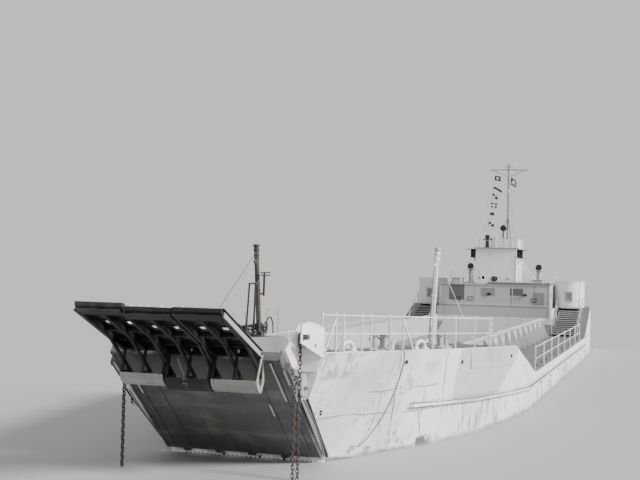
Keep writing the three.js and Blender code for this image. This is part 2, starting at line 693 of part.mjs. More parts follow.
// Deckhouse: four thick walls and a roof over the sunk floor, with its windows and door cut
const doorY = 2.1;
const doorWide = 0.72;
const houseDoorZ = poopDeckZ + 0.1;
const houseDoorHigh = 1.36;
function deckhouse() {
  const outer = box([houseEndX, -houseHalf, houseFloorZ + gap], [houseX, houseHalf, houseTopZ]);
  const inner = box(
    [houseEndX + wallThick, -houseHalf + wallThick, houseFloorZ - 0.1],
    [houseX - wallThick, houseHalf - wallThick, houseTopZ - wallThick]
  );
  const openings = [];
  for (const x of [-21, -24.6]) {
    openings.push(box([x - 0.16, -5, waterline + 3.55], [x + 0.16, 5, waterline + 3.87]));
  }
  openings.push(box(
    [houseEndX - 1, doorY - doorWide / 2, houseDoorZ],
    [houseEndX + 0.2, doorY + doorWide / 2, houseDoorZ + houseDoorHigh]
  ));
  const vents = [];
  for (const side of [-1, 1]) vents.push(mirrored(cowlVent(), side));
  return joined(cut(outer, inner, ...openings), ...vents);
}

// Cowl ventilator on the roof
function cowlVent() {
  const [x, y, foot] = [-24.6, 2.3, houseTopZ - 0.03];
  return joined(
    rod([x, y, foot], [x, y, foot + 0.95], 0.16, 14),
    rod([x - 0.12, y, foot + 0.98], [x + 0.3, y, foot + 1.1], 0.24, 14)
  );
}
addPiece('deckhouse', deckhouse(), 'paleGrey');

addPiece('deckhouse_door', houseDoor(houseEndX, doorY, doorWide, houseDoorZ, houseDoorHigh), 'offWhite');

function houseDoor(x, y, wide, z, high) {
  const lap = 0.04;
  const face = x - gap;
  const far = y + wide / 2 + lap;
  const slab = box([face - 0.06, y - wide / 2 - lap, z - lap], [face, far, z + high + lap]);
  const grip = z + high / 2;
  const handle = box([face - 0.12, far - 0.14, grip - 0.03], [face - 0.03, far - 0.06, grip + 0.03]);
  return joined(slab, handle);
}

// Wheelhouse on the deckhouse's roof, under the open bridge
const bridgeFrontX = -20.4;
const bridgeBackX = -22.9;
const bridgeHalf = 1.31;
const bridgeTopZ = waterline + 6.66;
function wheelhouse() {
  const outer = box([bridgeBackX, -bridgeHalf, houseTopZ + gap], [bridgeFrontX, bridgeHalf, bridgeTopZ]);
  const inner = box(
    [bridgeBackX + wallThick, -bridgeHalf + wallThick, houseTopZ - 0.1],
    [bridgeFrontX - wallThick, bridgeHalf - wallThick, bridgeTopZ - wallThick]
  );
  const openings = [
    box([bridgeFrontX - 0.3, -0.9, houseTopZ + 0.28], [bridgeFrontX + 0.3, -0.72, houseTopZ + 0.46]),
    box([bridgeFrontX - 0.3, -0.12, houseTopZ + 0.2], [bridgeFrontX + 0.3, 0.12, houseTopZ + 0.44]),
    box([bridgeFrontX - 0.3, 0.72, houseTopZ + 0.28], [bridgeFrontX + 0.3, 0.9, houseTopZ + 0.46]),
    box([bridgeBackX - 0.3, -0.36, houseTopZ + 0.12], [bridgeBackX + 0.3, 0.36, houseTopZ + 1.9])
  ];
  const lamps = [];
  for (const side of [-1, 1]) lamps.push(mirrored(sideLampScreen(), side));
  return joined(cut(outer, inner, ...openings), ...lamps);
}

// Screen of a side lamp, open to the bow and outboard
function sideLampScreen() {
  const y = bridgeHalf - 0.02;
  const z = houseTopZ + 1.45;
  return cut(
    box([bridgeFrontX - 1.2, y, z], [bridgeFrontX - 0.6, y + 0.32, z + 0.42]),
    box([bridgeFrontX - 1.14, y + 0.06, z + 0.04], [bridgeFrontX, y + 0.8, z + 0.8])
  );
}
addPiece('wheelhouse', wheelhouse(), 'offWhite');
addPiece('wheelhouse_door', houseDoor(bridgeBackX, 0, 0.72, houseTopZ + 0.12, 1.78), 'offWhite');

// Flat roof of the wheelhouse with the open bridge's low screen
function bridgeRoof() {
  const over = 0.08;
  const slab = box(
    [bridgeBackX - over, -bridgeHalf - over, bridgeTopZ + gap],
    [bridgeFrontX + over, bridgeHalf + over, bridgeTopZ + 0.06]
  );
  const tall = 0.62;
  const screenOuter = box(
    [bridgeBackX + 0.3, 0.15, bridgeTopZ + 0.04],
    [bridgeFrontX - 0.4, bridgeHalf + 0.02, bridgeTopZ + tall]
  );
  const screenInner = box(
    [bridgeBackX + 0.36, 0.21, bridgeTopZ + 0.06],
    [bridgeFrontX - 0.46, bridgeHalf - 0.04, bridgeTopZ + 1]
  );
  return joined(slab, cut(screenOuter, screenInner));
}
addPiece('bridge_roof', bridgeRoof(), 'offWhite');

// Signal lamp on its stand
function signalLamp() {
  const [x, y, z] = [-21.1, 0.34, bridgeTopZ + 0.06 + gap];
  const stand = rod([x, y, z], [x, y, z + 1.2], 0.04, 8);
  const foot = rod([x, y, z], [x, y, z + 0.04], 0.11, 10);
  const body = rod([x - 0.18, y, z + 1.3], [x + 0.12, y, z + 1.3], 0.165, 14);
  return joined(stand, foot, body);
}
addPiece('signal_lamp', signalLamp(), 'steel');

// Mast with its yard and two legs, on the deckhouse's roof
function mast() {
  const [x, foot, top] = [-25.6, houseTopZ + gap, waterline + 12.6];
  const split = waterline + 9.1;
  const parts = [
    rod([x, 0, foot], [x, 0, top], 0.07, 10),
    bar([x, -1.26, waterline + 12.2], [x, 1.26, waterline + 12.2], 0.06),
    bar([x, -0.3, waterline + 12.4], [x, 0.3, waterline + 12.4], 0.04)
  ];
  for (const side of [-1, 1]) {
    parts.push(rod([x + 1.5, side * 0.9, foot], [x, 0, split], 0.05, 8));
    parts.push(bar([x, side * 1.1, waterline + 12.19], [x, 0, waterline + 11.7], 0.035));
  }
  return aboveDeck(joined(...parts), houseTopZ);
}
addPiece('mast', mast(), 'offWhite');

// Funnel
function funnel() {
  const [x, foot, top] = [-24.4, houseTopZ + gap, waterline + 5.9];
  const outer = rod([x, 0, foot], [x, 0, top], 0.42, 20);
  const inner = rod([x, 0, foot + 0.3], [x, 0, top + 0.2], 0.37, 20);
  return cut(joined(outer, rod([x, 0, foot], [x, 0, foot + 0.08], 0.5, 20)), inner);
}
addPiece('funnel', funnel(), 'paleGrey');

// Round lookout tubs on the poop deck beside the deckhouse
const tub = { x: -22.75, y: 4.52, radius: 0.96, floorZ: poopDeckZ + 0.1, rimZ: waterline + 4.62 };
function lookoutTub() {
  const { x, y, radius, floorZ, rimZ } = tub;
  const bowl = cut(
    rod([x, y, floorZ], [x, y, rimZ], radius, 24),
    rod([x, y, floorZ + 0.06], [x, y, rimZ + 1], radius - 0.05, 24)
  );
  const base = rod([x, y, poopDeckZ - 0.2], [x, y, floorZ + 0.03], radius - 0.14, 24);
  const panel = box(
    [x + radius - 0.06, y - 0.3, waterline + 3.35],
    [x + radius + 0.05, y + 0.3, waterline + 3.98]
  );
  return aboveDeck(joined(bowl, base, panel), poopDeckZ);
}
for (const [name, side] of sides) addPiece(`lookout_tub_${name}`, mirrored(lookoutTub(), side), 'offWhite');

// Broad steps on the rising sides, up to the poop deck
const steps = { count: 13, innerY: 3.95, outerY: 5.3, startX: poopFootX - 0.15, endX: poopTopX + 0.75 };
function sideSteps() {
  const { count, innerY, outerY, startX, endX } = steps;
  const parts = [];
  for (const y of [innerY, outerY]) {
    parts.push(bar([startX, y, sternRise(startX) + 0.06], [endX, y, sternRise(endX) + 0.06], 0.06, 0.14));
  }
  for (let step = 0; step < count; step += 1) {
    const x = THREE.MathUtils.lerp(startX - 0.1, endX + 0.1, step / (count - 1));
    const z = sternRise(x) + 0.1;
    parts.push(box([x - 0.14, innerY, z - 0.02], [x + 0.14, outerY, z + 0.025]));
  }
  const slope = sternBlock().translate(0, 0, gap);
  return cut(joined(...parts), slope);
}
for (const [name, side] of sides) addPiece(`side_steps_${name}`, mirrored(sideSteps(), side), 'deckGrey');

// Rail round the poop deck
const poopCorner = [transomX + 0.15, 5.3];
const poopRailX = [-24.6, -26.4, poopCorner[0]];
const poopRailY = (x) => THREE.MathUtils.mapLinear(x, poopTopX, transomX, 5.7, 5.3);
const poopSide = poopRailX.map((x) => [x, poopRailY(x), poopDeckZ]);
const poopFeet = [
  ...poopSide,
  ...[3.4, 1.7].map((y) => [poopCorner[0], y, poopDeckZ])
];
const poopRail = aboveDeck(rail(poopFeet, 0.95), poopDeckZ);
for (const [name, side] of sides) addPiece(`poop_rail_${name}`, mirrored(poopRail, side), 'offWhite');

// The rope that hangs over the port bow, from its post to the eye at the waterline
const ropeRadius = 0.02;
const ropeRoute = [
  // x, y, height over the waterline
  [23.62, 3.806, 3.05],
  [23.615, 3.884, 3.06],
  [23.605, 3.974, 3.04],
  [23.59, 4.039, 2.97],
  [23.58, 4.062, 2.86],
  [23.55, 4.039, 2.65],
  [23.5, 3.975, 2.4],
  [23.45, 3.871, 2.1],
  [23.41, 3.736, 1.75],
  [23.4, 3.591, 1.42],
  [23.42, 3.426, 1.1],
  [23.48, 3.252, 0.8],
  [23.58, 3.088, 0.56],
  [23.69, 2.966, 0.4],
  [23.78, 2.865, 0.32],
  [23.87, 2.814, 0.3],
  [23.959, 2.814, 0.3]
];

function bowRope() {
  const points = ropeRoute.map(([x, y, h]) => new THREE.Vector3(x, y, waterline + h));
  const path = new THREE.CatmullRomCurve3(points);
  const section = new THREE.Shape();
  section.absarc(0, 0, ropeRadius, 0, 2 * Math.PI, false);
  const sweep = { steps: 45, curveSegments: 8, extrudePath: path, bevelEnabled: false };
  return new THREE.ExtrudeGeometry(section, sweep);
}
addPiece('bow_rope', bowRope(), 'rope');

// Kedge winch: a bed with two cheeks, and the drum that turns between them
const winch = { x: -27.4, z: poopDeckZ + 0.5, half: 0.62, drum: 0.22 };
function winchBed() {
  const { x, z, half } = winch;
  const parts = [box([x - 0.5, -half - 0.14, poopDeckZ + gap], [x + 0.45, half + 0.14, poopDeckZ + 0.1])];
  for (const side of [-1, 1]) {
    const y = side * (half + 0.07);
    const cheek = sidePlate([
      [x - 0.4, poopDeckZ + 0.05], [x + 0.35, poopDeckZ + 0.05], [x + 0.14, z + 0.14], [x - 0.14, z + 0.14]
    ], y - 0.05, 0.1);
    const bore = rod([x, y - 0.2, z], [x, y + 0.2, z], 0.0515, 20);
    parts.push(cut(cheek, bore));
  }
  return joined(...parts);
}
function winchDrum() {
  const { x, z, half, drum } = winch;
  return joined(
    rod([x, -half - 0.18, z], [x, half + 0.18, z], 0.05, 20),
    rod([x, -half + 0.05, z], [x, half - 0.05, z], drum, 20),
    rod([x, -half + 0.03, z], [x, -half + 0.08, z], drum + 0.12, 20),
    rod([x, half - 0.08, z], [x, half - 0.03, z], drum + 0.12, 20)
  );
}
addPiece('kedge_winch', winchBed(), 'steel');
addPiece('kedge_winch_drum', winchDrum(), 'steel');

// Kedge anchor hung on the transom from its roller bracket
function kedgeAnchor() {
  const x = transomX - 0.1;
  const y = 2.4;
  const crown = poopDeckZ - 1.35;
  const parts = [
    bar([x, y, crown], [x, y, poopDeckZ + 0.1], 0.1, 0.1),
    bar([x, y - 0.62, poopDeckZ - 0.02], [x, y + 0.62, poopDeckZ - 0.02], 0.07),
    box([x - 0.03, y - 0.2, poopDeckZ + gap], [transomX + 0.4, y + 0.2, poopDeckZ + 0.1])
  ];
  for (const side of [-1, 1]) {
    parts.push(bar([x, y, crown], [x, y + side * 0.55, crown + 0.32], 0.1, 0.12));
    parts.push(bar([x, y + side * 0.42, crown + 0.2], [x, y + side * 0.62, crown + 0.5], 0.06, 0.2));
  }
  return joined(...parts);
}
addPiece('kedge_anchor', kedgeAnchor(), 'steel');

// Engine room hatch with its hinged lid
const hatch = { x: -24.6, y: -4.4, half: 0.42, high: 0.26 };
function hatchCoaming() {
  const { x, y, half, high } = hatch;
  return cut(
    box([x - half, y - half, poopDeckZ + gap], [x + half, y + half, poopDeckZ + high]),
    box(
      [x - half + 0.06, y - half + 0.06, poopDeckZ + 0.05],
      [x + half - 0.06, y + half - 0.06, poopDeckZ + 1]
    )
  );
}
function hatchLid() {
  const { x, y, half, high } = hatch;
  const z = poopDeckZ + high + gap;
  return joined(
    box([x - half - 0.03, y - half - 0.03, z], [x + half + 0.03, y + half + 0.03, z + 0.05]),
    rod([x - half + 0.1, y + half + 0.05, z + 0.03], [x + half - 0.1, y + half + 0.05, z + 0.03], 0.028, 8)
  );
}
addPiece('engine_hatch', hatchCoaming(), 'paleGrey');
addPiece('engine_hatch_lid', hatchLid(), 'paleGrey');

// Ladder from the deckhouse's roof to the open bridge
function bridgeLadder() {
  const x = bridgeFrontX - 1.7;
  const y = bridgeHalf + 0.16;
  const parts = [];
  const half = 0.2;
  for (const out of [-half, half]) {
    parts.push(bar([x + out, y, houseTopZ + gap], [x + out, y, bridgeTopZ + 0.7], 0.045));
  }
  for (let z = houseTopZ + 0.3; z < bridgeTopZ + 0.6; z += 0.3) {
    parts.push(bar([x - half, y, z], [x + half, y, z], 0.035));
  }
  return joined(...parts);
}
addPiece('bridge_ladder', bridgeLadder(), 'steel');

// Under the stern: skegs that carry the shafts, propellers, and rudders between heel and hull
const propeller = { x: -25.2, y: 2.1, z: 0.62, radius: 0.47 };
const rudderX = -26.7;
const heelHigh = 0.1;
const sternKeelAt = (x) => {
  const [, fore, aft] = sternStations;
  return THREE.MathUtils.mapLinear(x, fore.x, aft.x, fore.keel, aft.keel);
};

function skeg() {
  const { x, y, z } = propeller;
  const plate = sidePlate([
    [-20.6, 0], [rudderX - 0.25, 0], [rudderX - 0.25, heelHigh], [x + 0.95, heelHigh],
    [x + 0.7, 0.4], [x + 0.7, 1.3], [-20.6, 1.3]
  ], y - 0.06, 0.12);
  const sternTube = rod([x + 0.24, y, z], [x + 1.6, y, z], 0.13, 12);
  const under = hullBottom().translate(0, 0, -gap);
  return cut(joined(plate, sternTube), under);
}

function propellerSolid() {
  const { x, y, z, radius } = propeller;
  const parts = [rod([x - 0.2, y, z], [x + 0.24 - gap, y, z], 0.1, 12)];
  for (let blade = 0; blade < 3; blade += 1) {
    const shape = box([-0.03, 0.04, -0.16], [0.03, radius, 0.16]);
    shape.rotateY(0.5).rotateX(blade * 2 * Math.PI / 3).translate(x, y, z);
    parts.push(shape);
  }
  return joined(...parts);
}

function rudderSolid() {
  const y = propeller.y;
  const blade = sidePlate([
    [rudderX + 0.24, 0.14], [rudderX + 0.24, 1.08], [rudderX - 0.62, 1.08], [rudderX - 0.68, 0.14]
  ], y - 0.04, 0.08);
  return joined(blade, rod([rudderX, y, heelHigh + gap], [rudderX, y, sternKeelAt(rudderX) - gap], 0.06, 12));
}

for (const [name, side] of sides) {
  addPiece(`skeg_${name}`, mirrored(skeg(), side), 'steel');
  addPiece(`propeller_${name}`, mirrored(propellerSolid(), side), 'bronze');
  addPiece(`rudder_${name}`, mirrored(rudderSolid(), side), 'steel');
}

export default craft;
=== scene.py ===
import bpy
import bmesh
import json
import math
from mathutils import Matrix, Vector

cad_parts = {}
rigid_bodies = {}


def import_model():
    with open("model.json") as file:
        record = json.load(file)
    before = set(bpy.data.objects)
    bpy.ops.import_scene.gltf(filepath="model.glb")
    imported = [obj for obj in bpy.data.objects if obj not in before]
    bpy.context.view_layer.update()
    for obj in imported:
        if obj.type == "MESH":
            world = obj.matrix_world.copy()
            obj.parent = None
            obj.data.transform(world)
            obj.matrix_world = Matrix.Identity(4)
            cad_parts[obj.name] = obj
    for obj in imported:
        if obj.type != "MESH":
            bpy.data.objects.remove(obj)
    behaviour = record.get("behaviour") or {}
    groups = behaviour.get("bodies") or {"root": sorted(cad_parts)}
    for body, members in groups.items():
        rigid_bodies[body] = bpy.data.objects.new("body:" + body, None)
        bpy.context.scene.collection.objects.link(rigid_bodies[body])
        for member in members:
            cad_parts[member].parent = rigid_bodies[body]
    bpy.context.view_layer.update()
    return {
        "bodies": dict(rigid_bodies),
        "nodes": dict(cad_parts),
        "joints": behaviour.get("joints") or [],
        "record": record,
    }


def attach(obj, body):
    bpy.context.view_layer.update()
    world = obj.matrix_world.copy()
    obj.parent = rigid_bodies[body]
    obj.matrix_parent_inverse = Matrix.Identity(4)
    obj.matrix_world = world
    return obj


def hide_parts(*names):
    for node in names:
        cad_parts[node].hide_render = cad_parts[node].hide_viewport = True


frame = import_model()
nodes = frame["nodes"]
print("frame:", len(nodes), "nodes")

modelScale = 0.5  # model metres for each metre of the full-size craft
waterline = 1.15  # real metres over the flat bottom


# a place on the full-size craft: x to the bow, y to port, h over the waterline
def at(x, y, h):
    return Vector((x, y, h + waterline)) * modelScale


# named sizes in real metres, brought to the model's scale
def scaled(**sizes):
    return {name: size * modelScale for name, size in sizes.items()}


# camera, lights and floor

cameraPlace = {
    "x": 54.795, "y": 11.128, "h": 5.231,  # real metres
    "yaw": 17.037, "pitch": 1.298, "roll": 1.416,  # degrees
    "focalPixels": 1163.5, "frameWidth": 640, "sensor": 36.0,
}


def makeCamera():
    p = cameraPlace
    yaw, pitch, roll = (math.radians(p[name]) for name in ("yaw", "pitch", "roll"))
    forward = Vector((-math.cos(yaw) * math.cos(pitch), -math.sin(yaw) * math.cos(pitch), math.sin(pitch)))
    right = forward.cross(Vector((0, 0, 1))).normalized()
    up = right.cross(forward)
    side = right * math.cos(roll) + up * math.sin(roll)
    top = up * math.cos(roll) - right * math.sin(roll)
    data = bpy.data.cameras.new("photoCamera")
    data.sensor_width = p["sensor"]
    data.lens = p["focalPixels"] / p["frameWidth"] * p["sensor"]
    data.clip_end = 2000
    camera = bpy.data.objects.new("photoCamera", data)
    bpy.context.scene.collection.objects.link(camera)
    turn = Matrix((side, top, -forward)).transposed().to_4x4()
    camera.matrix_world = Matrix.Translation(at(p["x"], p["y"], p["h"])) @ turn
    bpy.context.scene.camera = camera


studio = {
    "floorHalf": 260.0, "floorColor": (0.38, 0.38, 0.38), "skyColor": (0.82, 0.82, 0.82), "skyStrength": 0.95,
    "sunFrom": (0.14, 0.93, 0.56), "sunStrength": 7.0, "sunSoftness": 14.0,
}


def makeStudio():
    world = bpy.data.worlds.new("studio")
    bpy.context.scene.world = world
    world.use_nodes = True
    background = world.node_tree.nodes["Background"]
    background.inputs["Color"].default_value = (*studio["skyColor"], 1)
    background.inputs["Strength"].default_value = studio["skyStrength"]
    sun = bpy.data.lights.new("softSun", "SUN")
    sun.energy = studio["sunStrength"]
    sun.angle = math.radians(studio["sunSoftness"])
    lamp = bpy.data.objects.new("softSun", sun)
    lamp.rotation_euler = Vector(studio["sunFrom"]).to_track_quat("Z", "Y").to_euler()
    bpy.context.scene.collection.objects.link(lamp)
    half = studio["floorHalf"]
    level = waterline * modelScale
    corners = [(-half, -half, level), (half, -half, level), (half, half, level), (-half, half, level)]
    mesh = bpy.data.meshes.new("floor")
    mesh.from_pydata(corners, [], [(0, 1, 2, 3)])
    floor = bpy.data.objects.new("floor", mesh)
    bpy.context.scene.collection.objects.link(floor)
    material = bpy.data.materials.new("floorPaint")
    material.use_nodes = True
    surface = material.node_tree.nodes["Principled BSDF"]
    surface.inputs["Base Color"].default_value = (*studio["floorColor"], 1)
    surface.inputs["Roughness"].default_value = 0.7
    mesh.materials.append(material)


makeCamera()
makeStudio()
print("camera, lights and floor")

# the rope over the port bow, from the post on the deck's edge to the eye at the waterline

ropeRoute = [
    (23.62, 3.806, 3.05), (23.615, 3.884, 3.06), (23.605, 3.974, 3.04), (23.59, 4.039, 2.97),
    (23.58, 4.062, 2.86),
    (23.55, 4.039, 2.65), (23.5, 3.975, 2.4), (23.45, 3.871, 2.1), (23.41, 3.736, 1.75), (23.4, 3.591, 1.42),
    (23.42, 3.426, 1.1), (23.48, 3.252, 0.8), (23.58, 3.088, 0.56), (23.69, 2.966, 0.4), (23.78, 2.865, 0.32),
    (23.87, 2.814, 0.3), (23.959, 2.814, 0.3),
]  # x, y, height over the waterline, real metres
rope = {"radius": 0.02, "stepsPerSpan": 8}  # real metres


def catmullRom(points, stepsPerSpan):
    ends = [points[0] * 2 - points[1], *points, points[-1] * 2 - points[-2]]
    line = []
    for span in range(1, len(ends) - 2):
        a, b, c, d = ends[span - 1:span + 3]
        for step in range(stepsPerSpan):
            t = step / stepsPerSpan
            line.append(0.5 * (2 * b + (c - a) * t + (2 * a - 5 * b + 4 * c - d) * t * t
                               + (3 * b - a - 3 * c + d) * t ** 3))
    return [*line, points[-1]]


def makeRope():
    line = catmullRom([at(*point) for point in ropeRoute], rope["stepsPerSpan"])
    data = bpy.data.curves.new("bowRope", "CURVE")
    data.dimensions = "3D"
    spline = data.splines.new("POLY")
    spline.points.add(len(line) - 1)
    for point, place in zip(spline.points, line):
        point.co = (*place, 1)
        point.radius = rope["radius"] * modelScale
    data.bevel_depth = 1.0
    data.use_fill_caps = True
    piece = bpy.data.objects.new("bowRopeLine", data)
    bpy.context.scene.collection.objects.link(piece)
    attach(piece, "hull")
    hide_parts("bow_rope")
    return piece


bowRope = makeRope()

# node trees: a node with its values and links, sums, masks


def put(tree, kind, values=None, **settings):
    node = tree.nodes.new(kind)
    count = len(tree.nodes)
    node.location = (220 * (count % 9), -200 * (count // 9))
    for name, value in settings.items():
        setattr(node, name, value)
    for key, value in (values or {}).items():
        if isinstance(value, bpy.types.NodeSocket):
            tree.links.new(value, node.inputs[key])
        else:
            node.inputs[key].default_value = value
    return node


def calc(tree, how, *values):
    return put(tree, "ShaderNodeMath", dict(enumerate(values)), operation=how).outputs[0]


def remap(tree, value, low, high, toLow=0.0, toHigh=1.0):
    values = {"Value": value, "From Min": low, "From Max": high, "To Min": toLow, "To Max": toHigh}
    return put(tree, "ShaderNodeMapRange", values, interpolation_type="SMOOTHSTEP").outputs["Result"]


def mixColor(tree, factor, first, second, how="MIX"):
    values = {0: factor, 6: first, 7: second}
    return put(tree, "ShaderNodeMix", values, data_type="RGBA", blend_type=how).outputs[2]


def noise(tree, place, scale, detail=4.0, rough=0.5):
    values = {"Vector": place, "Scale": scale, "Detail": detail, "Roughness": rough}
    return put(tree, "ShaderNodeTexNoise", values).outputs[0]


def stretched(tree, place, x, y, z):
    sizes = put(tree, "ShaderNodeCombineXYZ", {"X": x, "Y": y, "Z": z}).outputs[0]
    return put(tree, "ShaderNodeVectorMath", {0: place, 1: sizes}, operation="MULTIPLY").outputs[0]


def onObject(tree):
    return put(tree, "ShaderNodeTexCoord").outputs["Object"]


def normalOf(tree):
    return put(tree, "ShaderNodeNewGeometry").outputs["Normal"]


def axes(tree, vector):
    return put(tree, "ShaderNodeSeparateXYZ", {0: vector}).outputs


# a band of one axis, in real metres, soft at both ends
def between(tree, value, low, high, soft=0.1):
    low, high, soft = low * modelScale, high * modelScale, soft * modelScale
    up = remap(tree, value, low - soft, low + soft)
    down = remap(tree, value, high - soft, high + soft, 1.0, 0.0)
    return calc(tree, "MULTIPLY", up, down)


socketKinds = {float: "NodeSocketFloat", int: "NodeSocketInt", tuple: "NodeSocketColor"}


def newGroup(name, inputs, outputs):
    tree = bpy.data.node_groups.new(name, "ShaderNodeTree")
    for label, value in inputs.items():
        socket = tree.interface.new_socket(name=label, in_out="INPUT", socket_type=socketKinds[type(value)])
        socket.default_value = value
    for label, kind in outputs.items():
        tree.interface.new_socket(name=label, in_out="OUTPUT", socket_type=socketKinds[kind])
    given = tree.nodes.new("NodeGroupInput").outputs
    result = tree.nodes.new("NodeGroupOutput")
    result.location = (2200, 0)
    return tree, given, result.inputs


def useGroup(tree, group, values=None):
    node = tree.nodes.new("ShaderNodeGroup")
    node.node_tree = group
    for label, value in (values or {}).items():
        if isinstance(value, bpy.types.NodeSocket):
            tree.links.new(value, node.inputs[label])
        else:
            node.inputs[label].default_value = value
    return node.outputs


# paint knocked off along edges
def makeEdgeWear():
    tree, given, result = newGroup("edgeWear", {"Radius": 0.008, "Break Scale": 9.0}, {"Mask": float})
    round_ = put(tree, "ShaderNodeBevel", {"Radius": given["Radius"]}, samples=4).outputs["Normal"]
    flat = normalOf(tree)
    turn = put(tree, "ShaderNodeVectorMath", {0: round_, 1: flat}, operation="DOT_PRODUCT").outputs["Value"]
    edge = remap(tree, calc(tree, "SUBTRACT", 1.0, turn), 0.02, 0.16)
    patchy = remap(tree, noise(tree, onObject(tree), given["Break Scale"], 6.0, 0.6), 0.44, 0.60)
    tree.links.new(calc(tree, "MULTIPLY", edge, patchy), result["Mask"])
    return tree


# long thin runs of rust and dirt down steep plates
def makeRuns():
    tree, given, result = newGroup("runs", {"Across": 9.0, "Down": 0.7, "Cut": 0.6, "Soft": 0.08},
                                   {"Mask": float})
    place = onObject(tree)
    long_ = noise(tree, stretched(tree, place, given["Across"], given["Across"], given["Down"]), 1.0, 7.0,
                  0.62)
    cut = remap(tree, long_, given["Cut"], calc(tree, "ADD", given["Cut"], given["Soft"]))
    groups = remap(tree, noise(tree, stretched(tree, place, 0.5, 0.5, 0.35), 1.0, 3.0), 0.42, 0.62)
    up = axes(tree, normalOf(tree))["Z"]
    steep = remap(tree, calc(tree, "ABSOLUTE", up), 0.45, 0.75, 1.0, 0.0)
    tree.links.new(calc(tree, "MULTIPLY", calc(tree, "MULTIPLY", cut, groups), steep), result["Mask"])
    return tree


# broad soft soiling
def makeSoil():
    tree, given, result = newGroup("soil", {"Scale": 1.2, "Cut": 0.48, "Soft": 0.2}, {"Mask": float})
    broad = noise(tree, onObject(tree), given["Scale"], 9.0, 0.66)
    tree.links.new(remap(tree, broad, given["Cut"], calc(tree, "ADD", given["Cut"], given["Soft"])),
                   result["Mask"])
    return tree


# small chips and rust spots
def makeSpots():
    tree, given, result = newGroup("spots", {"Scale": 14.0, "Size": 0.18}, {"Mask": float})
    place = onObject(tree)
    wobble = put(tree, "ShaderNodeTexNoise", {"Vector": place, "Scale": 30.0, "Detail": 3.0}).outputs["Color"]
    shifted = put(tree, "ShaderNodeVectorMath", {0: wobble, 1: (0.5, 0.5, 0.5)},
                  operation="SUBTRACT").outputs[0]
    small = put(tree, "ShaderNodeVectorMath", {0: shifted, "Scale": 0.06}, operation="SCALE").outputs[0]
    moved = put(tree, "ShaderNodeVectorMath", {0: place, 1: small}, operation="ADD").outputs[0]
    cells = put(tree, "ShaderNodeTexVoronoi", {"Vector": moved, "Scale": given["Scale"]}).outputs["Distance"]
    dots = remap(tree, cells, calc(tree, "MULTIPLY", given["Size"], 0.6), given["Size"], 1.0, 0.0)
    groups = remap(tree, noise(tree, place, 0.9, 5.0, 0.6), 0.52, 0.62)
    tree.links.new(calc(tree, "MULTIPLY", dots, groups), result["Mask"])
    return tree


# welded plates that dish slightly between their frames
def makeDishing():
    tree, given, result = newGroup("dishing", {"Frame Space": 0.6, "Depth": 1.0}, {"Height": float})
    place = onObject(tree)
    along = axes(tree, place)["X"]
    ribs = calc(tree, "PINGPONG", along, calc(tree, "MULTIPLY", given["Frame Space"], 0.5))
    rib = remap(tree, ribs, 0.0, 0.10, 1.0, 0.0)
    uneven = noise(tree, stretched(tree, place, 1.1, 1.1, 0.8), 1.0, 3.0)
    high = calc(tree, "ADD", calc(tree, "MULTIPLY", rib, 0.35), uneven)
    tree.links.new(calc(tree, "MULTIPLY", high, given["Depth"]), result["Height"])
    return tree


edgeWear, runs, soil, spots, dishing = makeEdgeWear(), makeRuns(), makeSoil(), makeSpots(), makeDishing()


# painted steel out at sea: paint, soiling, runs, spots and worn edges, in that order
def makeWeathering():
    inputs = {
        "Paint": (0.7, 0.7, 0.68, 1.0), "Rust": (0.13, 0.075, 0.045, 1.0), "Dirt": (0.2, 0.19, 0.17, 1.0),
        "Soiling": 0.4, "Runs": 0.6, "Spots": 0.5, "Edges": 0.6, "Gloss": 0.55, "Run Width": 9.0,
    }
    tree, given, result = newGroup("weathering", inputs,
                                   {"Color": tuple, "Roughness": float, "Height": float})
    place = onObject(tree)
    fade = remap(tree, noise(tree, place, 0.55, 8.0, 0.6), 0.3, 0.7, 0.86, 1.07)
    tone = put(tree, "ShaderNodeCombineColor", {0: fade, 1: fade, 2: fade}).outputs[0]
    color = mixColor(tree, 1.0, given["Paint"], tone, "MULTIPLY")
    dirty = calc(tree, "MULTIPLY", useGroup(tree, soil, {"Scale": 1.6, "Cut": 0.5, "Soft": 0.25})["Mask"],
                 given["Soiling"])
    color = mixColor(tree, dirty, color, given["Dirt"])
    thin = useGroup(tree, runs,
                    {"Across": given["Run Width"], "Down": 0.6, "Cut": 0.57, "Soft": 0.12})["Mask"]
    ran = calc(tree, "MULTIPLY", thin, given["Runs"])
    color = mixColor(tree, ran, color, mixColor(tree, 0.5, given["Rust"], given["Dirt"]))
    dots = calc(tree, "MULTIPLY", useGroup(tree, spots, {"Scale": 11.0, "Size": 0.16})["Mask"],
                given["Spots"])
    color = mixColor(tree, dots, color, given["Rust"])
    worn = calc(tree, "MULTIPLY", useGroup(tree, edgeWear)["Mask"], given["Edges"])
    color = mixColor(tree, worn, color, given["Rust"])
    fine = noise(tree, place, 38.0, 5.0, 0.6)
    rough = calc(tree, "ADD", given["Gloss"], calc(tree, "MULTIPLY", calc(tree, "SUBTRACT", fine, 0.5), 0.25))
    rough = calc(tree, "ADD", rough, calc(tree, "MULTIPLY", calc(tree, "MAXIMUM", ran, worn), 0.25))
    low = calc(tree, "MULTIPLY", calc(tree, "MAXIMUM", dots, worn), -0.4)
    tree.links.new(color, result["Color"])
    tree.links.new(rough, result["Roughness"])
    tree.links.new(calc(tree, "ADD", calc(tree, "MULTIPLY", fine, 0.12), low), result["Height"])
    return tree


weathering = makeWeathering()

